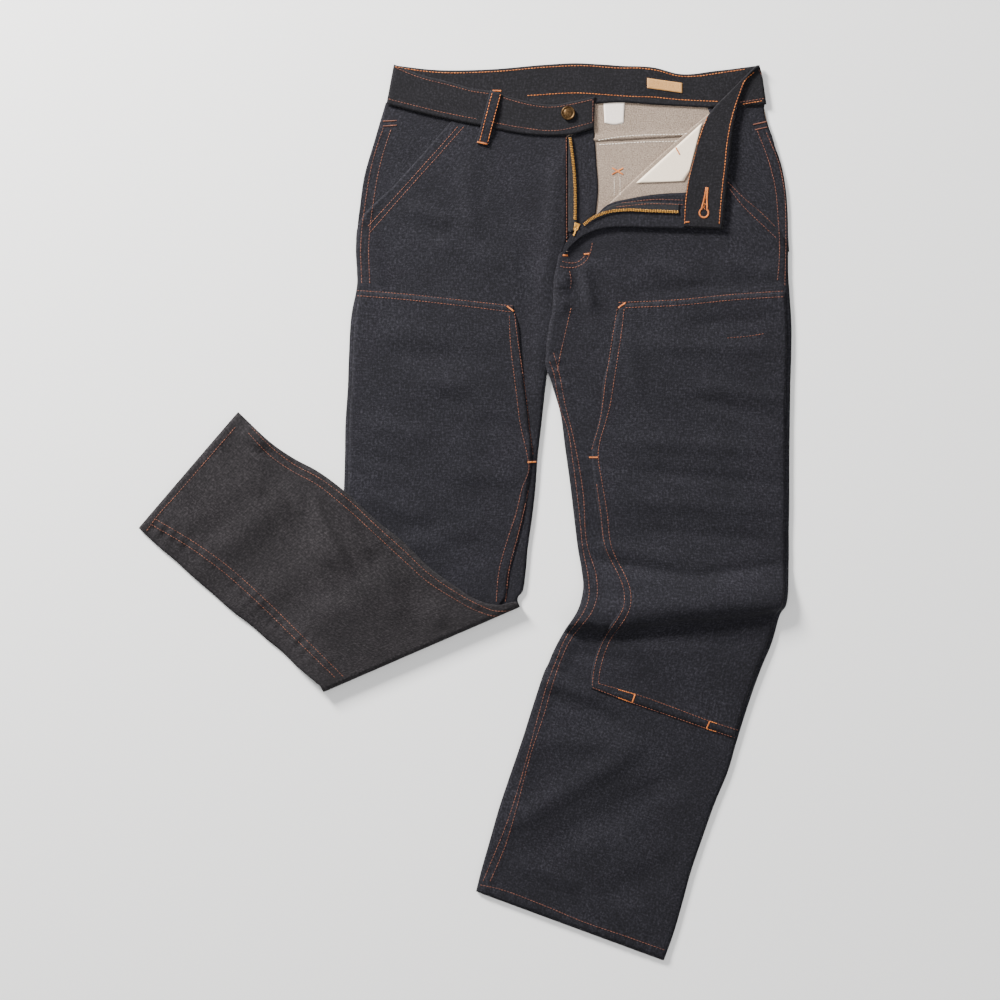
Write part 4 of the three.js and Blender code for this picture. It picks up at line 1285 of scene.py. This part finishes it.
def evenPoints(points, pitch):
    # places every pitch millimetres on a smooth curve through the points
    p = np.asarray(points, float)
    at = np.concatenate([[0], np.cumsum(np.hypot(*np.diff(p, axis=0).T))])
    if len(p) > 2:
        slope = np.gradient(p, at, axis=0)
        fine = [p[:1]]
        for i, run in enumerate(np.diff(at)):
            t = np.linspace(0, 1, 9)[1:, None]
            h = t * t * (3 - 2 * t)
            bend = (t**3 - 2 * t**2 + t) * run * slope[i] + (t**3 - t**2) * run * slope[i + 1]
            fine.append((1 - h) * p[i] + h * p[i + 1] + bend)
        p = np.concatenate(fine)
        at = np.concatenate([[0], np.cumsum(np.hypot(*np.diff(p, axis=0).T))])
    want = np.linspace(0, at[-1], max(1, int(round(at[-1] / pitch))) + 1)
    return np.stack([np.interp(want, at, p[:, 0]), np.interp(want, at, p[:, 1])], 1)


def copiesOf(name, model, places, finish):
    # one mesh of a model's copies; a place is a centre, a way along, a way up and three sizes
    base = np.array([v.co[:] for v in model.data.vertices])
    faces = [tuple(polygon.vertices) for polygon in model.data.polygons]
    verts, polygons = [], []
    for centre, along, up, sizes in places:
        along, up = np.array(along), np.array(up)
        along /= np.linalg.norm(along)
        side = np.cross(up, along)
        side /= np.linalg.norm(side)
        up = np.cross(along, side)
        polygons += [[len(verts) * len(base) + i for i in face] for face in faces]
        verts.append(np.array(centre) + (base * sizes) @ np.stack([along, side, up]))
    ob = makeMesh(name, np.concatenate(verts) / mm, polygons)
    ob.data.materials.append(finish)
    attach(ob, garment)
    print(f"{name}: {len(places)} copies")
    return ob


# one stitch, a metre long and thick: a grain lying along X, to be sized as it is placed
bpy.ops.mesh.primitive_uv_sphere_add(segments=6, ring_count=4, radius=0.5)
stitchModel = bpy.context.object
bpy.ops.object.mode_set(mode="EDIT")
bpy.ops.mesh.select_all(action="SELECT")
bpy.ops.transform.rotate(value=math.pi / 2, orient_axis="Y", center_override=(0, 0, 0))
bpy.ops.object.mode_set(mode="OBJECT")
for v in stitchModel.data.vertices:
    if 0.2 < abs(v.co.x) < 0.4:
        v.co.y *= 1.25
        v.co.z *= 1.25


steepest = 0.85     # a stitch rises at most this share of its length
stitchFlat = 0.85   # its height over its width
tackLift = 0.35     # threads of a bar tack stand higher than a seam's stitches


def grain(x0, y0, x1, y1, thick, under=False, lift=0.1):
    # one stitch between two places of the plan, or nothing where it would bridge a step
    ends = [dropped(x0, y0, under), dropped(x1, y1, under)]
    middle, normal = dropped((x0 + x1) / 2, (y0 + y1) / 2, under)
    if middle is None or ends[0][0] is None or ends[1][0] is None:
        return None
    along = ends[1][0] - ends[0][0]
    if abs(along.z) > steepest * along.length:
        return None
    centre = (ends[0][0] + ends[1][0]) / 4 + middle / 2 + normal * lift * mm
    return centre, along, normal, (along.length, thick * mm, thick * stitchFlat * mm)


def sewn(lines, pitch=3.7, length=3.1, thick=0.85, under=False):
    places = []
    for points in lines:
        marks = evenPoints(points, pitch)
        for (x0, y0), (x1, y1) in zip(marks[:-1], marks[1:]):
            share = 0.5 * length / pitch * rng.uniform(0.92, 1.06)
            mx, my = (x0 + x1) / 2 + rng.normal(0, 0.05), (y0 + y1) / 2 + rng.normal(0, 0.05)
            tilt = rng.normal(0, 0.05)
            dx, dy = (x1 - x0) * share, (y1 - y0) * share
            dx, dy = dx - dy * tilt, dy + dx * tilt
            places.append(grain(mx - dx, my - dy, mx + dx, my + dy, thick * rng.uniform(0.9, 1.08), under))
    return [place for place in places if place]


def satin(x0, y0, x1, y1, width, step=0.42, thick=0.62):
    # a bar tack: threads side by side across a short bar
    size = math.hypot(x1 - x0, y1 - y0)
    ux, uy = (x1 - x0) / size, (y1 - y0) / size
    places = []
    for at in np.arange(0, size + 0.01, step):
        half = width / 2 * rng.uniform(0.9, 1.1)
        cx, cy, slope = x0 + ux * at, y0 + uy * at, rng.normal(0, 0.12)
        nx, ny = (-uy + ux * slope) * half, (ux + uy * slope) * half
        places.append(grain(cx - nx, cy - ny, cx + nx, cy + ny, thick, lift=tackLift))
    return [place for place in places if place]


rustLines = (
    bandRightTop + bandRightSeam + hipRight + hipLeft + slantRight + slantLeft + fly + rise + inseamLeft
    + outseamShin + inseamShin + hemShin + hemLeft + patchRight + patchLeft + facingFly + sideBandLeft
    + faint
)
rustPlaces = sewn(rustLines, thick=0.78)
rustTacks = [
    (345.6, 464.4, 361.4, 468.0, 1.4), (348.0, 458.2, 362.0, 461.4, 1.4), (-98, 462.4, -82, 463.6, 1.4),
    (-98.0, 468.4, -82.0, 469.2, 1.4),
]
for tack in rustTacks:
    rustPlaces += satin(*tack)
# where the hammer loop is caught down on the knee patch, the seam is sewn over in orange
loopEnds = [
    [(183.5, -212.4), (203.4, -218.2)], [(183.5, -222.2), (200, -228.4)],
    [(293, -250.4), (302, -253.3)], [(289, -259.4), (301, -263.2)],
]
brightPlaces = sewn(bandBackTop + bandBackSeam + stripEdges + loop)
brightPlaces += sewn(loopEnds, pitch=2.4, length=2.3, thick=1.1)
copiesOf("brightSewing", stitchModel, brightPlaces, orangeThread)
copiesOf("rustSewing", stitchModel, rustPlaces, rustThread)
palePlaces = sewn(windowYoke, thick=0.95) + sewn(windowPocket, pitch=2.6, length=2.2, thick=0.6)
copiesOf("paleSewing", stitchModel, palePlaces, paleThread)
# bar tacks where seams and loops end, and the small cross inside the back panel: x0, y0, x1, y1, width
tacks = [
    (50.6, 246.4, 58.6, 240.4, 2.0), (75.4, 59.6, 85.4, 60.2, 2.0), (184.0, 244.8, 192.4, 250.8, 2.0),
    (149.0, 65.4, 159.4, 65.4, 2.0), (117.6, 307.6, 123.4, 307.4, 2.4), (142.8, 309.0, 149.0, 309.4, 2.4),
    (30.6, 505.2, 43.4, 504.8, 2.2), (15.0, 443.2, 26.6, 440.6, 2.2), (264.0, 346.8, 268.4, 347.0, 1.8),
    (252.4, 436.2, 257.0, 427.8, 1.6), (203.6, -218.6, 200.2, -228.2, 1.8),
    (293, -250.8, 289.2, -259.2, 1.8),
    (176.8, 412.6, 189.4, 404.8, 2.0),
    (176.4, 404.8, 189.6, 412.4, 2.0),
]
tackPlaces = []
for tack in tacks:
    tackPlaces += satin(*tack)
# on the back, which the photo doesn't show: the seat seam and the yoke seams
seatSeam = [
    [(133, 446), (132, 380), (124, 320), (112, 280), (103, 215), (98, 170)],
    [(138, 446), (137, 380), (129, 320), (117, 280), (108, 215), (103, 170)],
]
yokeSeam = [
    [(-96, 459), (-40, 455), (30, 451), (90, 448), (186, 449), (257, 453), (311, 456), (362, 459)],
    [(-98, 453), (-40, 449), (30, 445), (90, 442), (186, 443), (257, 447), (311, 450), (364, 453)],
]
undersideLines = bandBackTop + bandBackSeam + hipRight + hipLeft + inseamLeft + hemLeft + seatSeam + yokeSeam
copiesOf("undersideSewing", stitchModel, sewn(undersideLines, under=True), rustThread)
copiesOf("orangeTacks", stitchModel, tackPlaces, orangeThread)


def buttonhole(x0, y0, x1, y1, eye, narrow, width):
    # a keyhole worked in satin stitch: a straight slot that ends in a round eye
    size = math.hypot(x1 - x0, y1 - y0)
    ux, uy = (x1 - x0) / size, (y1 - y0) / size
    path = [(0.0, -narrow)]
    path += [(size * k / 6, -narrow - (eye * 0.7 - narrow) * (k / 6) ** 2) for k in range(1, 7)]
    for k in range(13):
        turn = math.radians(-135 + 270 * k / 12)
        path.append((size + eye * 0.7 + eye * math.cos(turn), eye * math.sin(turn)))
    path += [(u, -v) for u, v in path[6::-1]]
    marks = evenPoints([(x0 + ux * u - uy * v, y0 + uy * u + ux * v) for u, v in path], 0.5)
    places = []
    for a, b in zip(marks[:-1], marks[1:]):
        dx, dy = (b - a) / np.linalg.norm(b - a)
        cx, cy = (a + b) / 2
        half = width / 2 * rng.uniform(0.88, 1.12)
        dx, dy = dx * half, dy * half
        places.append(grain(cx - dy, cy + dx, cx + dy, cy - dx, 0.7, lift=tackLift))
    return [place for place in places if place]


holePlaces = buttonhole(289.6, 388.4, 286.4, 361.5, eye=5.4, narrow=0.9, width=2.1)
slotThreads = [
    (288.2, 381, 286.6, 375), (287.2, 377, 289.4, 371), (285.2, 373.5, 287.8, 367), (288.4, 369, 285, 363.5),
    (284.4, 367.5, 287.6, 361.2),
]
for x0, y0, x1, y1 in slotThreads:
    holePlaces += sewn([[(x0, y0), (x1, y1)]], pitch=3.0, length=2.9, thick=0.8)
copiesOf("buttonholeSewing", stitchModel, holePlaces, orangeThread)
bpy.data.objects.remove(stitchModel)
print("sewing done")


# Zip: one tooth is modelled, then copied along both tapes
teeth = {
    "size": (1.15, 3.4, 1.35), "bevel": 0.28, "pitch": 2.05, "stagger": 0.35, "heightRight": 4.6,
    "heightLeft": 9.1,
}
clearSelection()
bpy.ops.mesh.primitive_cube_add(size=1)
toothModel = bpy.context.object
bpy.ops.object.mode_set(mode="EDIT")
bpy.ops.mesh.select_all(action="SELECT")
bpy.ops.transform.resize(value=teeth["size"])
bpy.ops.mesh.bevel(offset=teeth["bevel"], segments=2, affect="EDGES")
bpy.ops.object.mode_set(mode="OBJECT")


def toothPlaces(points, height):
    places = []
    marks = evenPoints(points, teeth["pitch"])
    for i, (a, b) in enumerate(zip(marks[:-1], marks[1:])):
        middle, along = (a + b) / 2, (b - a) / np.linalg.norm(b - a)
        across = np.array([-along[1], along[0]]) * teeth["stagger"] * (i % 2)
        places.append(((*((middle + across) * mm), height * mm), (*along, 0), (0, 0, 1), (mm, mm, mm)))
    return places


zipLineRight = [
    (125.6, 449), (128.0, 432), (129.9, 416), (131.2, 400), (131.9, 386), (132.0, 366), (131.6, 350),
]
zipLineLeft = [(142, 343.2), (150, 349.6), (165.6, 357.2), (188.4, 361), (218.4, 360.2), (255.6, 358.8)]
placesRight = toothPlaces(zipLineRight, teeth["heightRight"])
placesLeft = toothPlaces(zipLineLeft, teeth["heightLeft"])
for name, places in (("zipTeethRight", placesRight), ("zipTeethLeft", placesLeft)):
    copiesOf(name, toothModel, places, zipBrass)
bpy.data.objects.remove(toothModel)

# Shank button: antique finish, rolled rim, sunk face and a low dome
buttonSpot = Vector((123.6, 477.6, 5.4))
# its outline, from the middle of the face down to the cloth: radius and height over buttonSpot
profile = [
    (0.0, 3.3), (1.6, 3.25), (3.0, 3.0), (4.4, 2.6), (5.2, 2.3), (5.7, 2.05), (6.1, 2.1), (6.5, 2.55),
    (7.1, 2.85),
    (7.7, 2.8), (8.2, 2.45), (8.45, 1.9), (8.4, 1.3), (8.0, 0.9), (7.2, 0.75), (4.2, 0.8), (3.9, 0.4),
    (3.9, 0.02),
    (0.0, 0.02),
]
clearSelection()
ring = bpy.data.meshes.new("button")
ring.from_pydata([((buttonSpot + Vector((r, 0, z))) * mm) for r, z in profile],
                 [(i, i + 1) for i in range(len(profile) - 1)], [])
buttonPiece = bpy.data.objects.new("buttonPiece", ring)
bpy.context.collection.objects.link(buttonPiece)
bpy.context.view_layer.objects.active = buttonPiece
buttonPiece.select_set(True)
bpy.ops.object.mode_set(mode="EDIT")
bpy.ops.mesh.select_all(action="SELECT")
bpy.ops.mesh.spin(steps=56, angle=2 * math.pi, center=buttonSpot * mm, axis=(0, 0, 1))
bpy.ops.mesh.select_all(action="SELECT")
bpy.ops.mesh.remove_doubles(threshold=0.00002)
bpy.ops.mesh.normals_make_consistent(inside=False)
bpy.ops.object.mode_set(mode="OBJECT")
bpy.ops.object.shade_smooth_by_angle(angle=math.radians(50))
buttonPiece.data.materials.append(oldBrass)
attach(buttonPiece, garment)
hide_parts("button")
buttonPiece.select_set(False)
print("button made")

# Zip slider and its pull, in millimetres about the hinge and then put in place
hinge = Matrix.Translation(Vector((133.6, 341.4, 8.2)) * mm) @ Matrix.Rotation(-0.3, 4, "Z")
slider = {"plate": (7.0, 9.4), "top": 1.0, "low": 0.9, "taper": 0.72, "cheekX": 2.4}
pull = {"eye": 1.55, "ring": 0.5, "knob": 1.25, "knobAt": 10.6, "flat": 0.45, "pin": 0.55, "pinLength": 4.2}


def roundedBlock(size, spot, bevel, taper=1.0):
    # a block shaped in edit mode; taper narrows its lower end
    clearSelection()
    bpy.ops.mesh.primitive_cube_add(size=1)
    block = bpy.context.object
    bpy.ops.object.mode_set(mode="EDIT")
    bpy.ops.mesh.select_all(action="SELECT")
    bpy.ops.transform.resize(value=[n * mm for n in size])
    bpy.ops.mesh.bevel(offset=bevel * mm, segments=3, affect="EDGES")
    bpy.ops.object.mode_set(mode="OBJECT")
    for v in block.data.vertices:
        v.co.x *= 1 - (1 - taper) * (0.5 - v.co.y / (size[1] * mm))
        v.co += Vector(spot) * mm
    return block


def joinedPiece(name, blocks, finish, body, node, place):
    # the blocks as one piece, put in place about the hinge
    clearSelection()
    for block in blocks:
        block.select_set(True)
    bpy.context.view_layer.objects.active = blocks[0]
    bpy.ops.object.join()
    piece = bpy.context.object
    piece.name = piece.data.name = name
    piece.data.transform(place)
    piece.data.materials.append(finish)
    bpy.ops.object.shade_smooth_by_angle(angle=math.radians(35))
    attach(piece, body)
    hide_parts(node)
    piece.select_set(False)


topPlate = roundedBlock((*slider["plate"], slider["top"]), (0, 0, -1.6), 0.4, slider["taper"])
lowPlate = roundedBlock((*slider["plate"], slider["low"]), (0, 0, -4.1), 0.35, slider["taper"])
post = roundedBlock((1.6, 3.2, 2.6), (0, 2.6, -2.8), 0.2)
cheeks = [roundedBlock((0.8, 2.6, 2.6), (side * slider["cheekX"], 0, -0.3), 0.25) for side in (-1, 1)]
joinedPiece("zipSlider", [topPlate, lowPlate, post, *cheeks], zipBrass, garment, "zip_slider", hinge)

clearSelection()
bpy.ops.mesh.primitive_torus_add(
    major_radius=pull["eye"] * mm, minor_radius=pull["ring"] * mm, major_segments=36, minor_segments=12
)
eye = bpy.context.object
stem = roundedBlock((2.6, 8.6, 0.8), (0, -5.9, 0), 0.3, 0.62)
clearSelection()
bpy.ops.mesh.primitive_uv_sphere_add(segments=20, ring_count=12, radius=pull["knob"] * mm)
knob = bpy.context.object
for v in knob.data.vertices:
    v.co.z *= pull["flat"]
    v.co.y -= pull["knobAt"] * mm
clearSelection()
bpy.ops.mesh.primitive_cylinder_add(vertices=20, radius=pull["pin"] * mm, depth=pull["pinLength"] * mm)
pin = bpy.context.object
bpy.ops.object.mode_set(mode="EDIT")
bpy.ops.mesh.select_all(action="SELECT")
bpy.ops.transform.rotate(value=math.pi / 2, orient_axis="Y", center_override=(0, 0, 0))
bpy.ops.object.mode_set(mode="OBJECT")
joinedPiece("zipPull", [eye, stem, knob, pin], zipBrass, pullTab, "zip_pull", hinge)
print("zip made")

# Camera as in the photo: straight above, with a plain pale floor and soft studio light
view = {"lens": 85, "sensor": 36, "spot": (0.042, 0.0144, 2.833)}
cameraData = bpy.data.cameras.new("camera")
camera = bpy.data.objects.new("camera", cameraData)
bpy.context.collection.objects.link(camera)
cameraData.lens, cameraData.sensor_width = view["lens"], view["sensor"]
camera.location = view["spot"]
bpy.context.scene.camera = camera

floorHeight = -0.0008   # just under the lowest stitch
bpy.ops.mesh.primitive_plane_add(size=9, location=(0, 0, floorHeight))
floor = bpy.context.object
floor.name = "floor"
floorFinish, floorShader = newMaterial("paleFloor")[::3]
floorLook = {"Base Color": (0.92, 0.92, 0.92, 1), "Roughness": 0.9, "Specular IOR Level": 0.1}
for socket, value in floorLook.items():
    floorShader.inputs[socket].default_value = value
floor.data.materials.append(floorFinish)


def softLight(name, spot, size, power, tint=(1, 1, 1)):
    # a square light that faces the middle of the frame
    data = bpy.data.lights.new(name, "AREA")
    data.shape = "SQUARE"
    data.size = size
    data.energy = power
    data.color = tint
    light = bpy.data.objects.new(name, data)
    bpy.context.collection.objects.link(light)
    light.location = spot
    light.rotation_euler = Vector(spot).to_track_quat("Z", "Y").to_euler()


softLight("keyLight", (-1.9, 2.4, 1.3), size=0.8, power=420, tint=(1, 0.985, 0.96))
softLight("fillLight", (2.4, -1.4, 2.2), size=2.2, power=26)
softLight("topLight", (0.2, 0.1, 3.4), size=1.6, power=45)
world = bpy.data.worlds.new("studio")
world.use_nodes = True
for socket, value in (("Color", (1, 1, 1, 1)), ("Strength", 0.42)):
    world.node_tree.nodes["Background"].inputs[socket].default_value = value
bpy.context.scene.world = world

print("stage set")
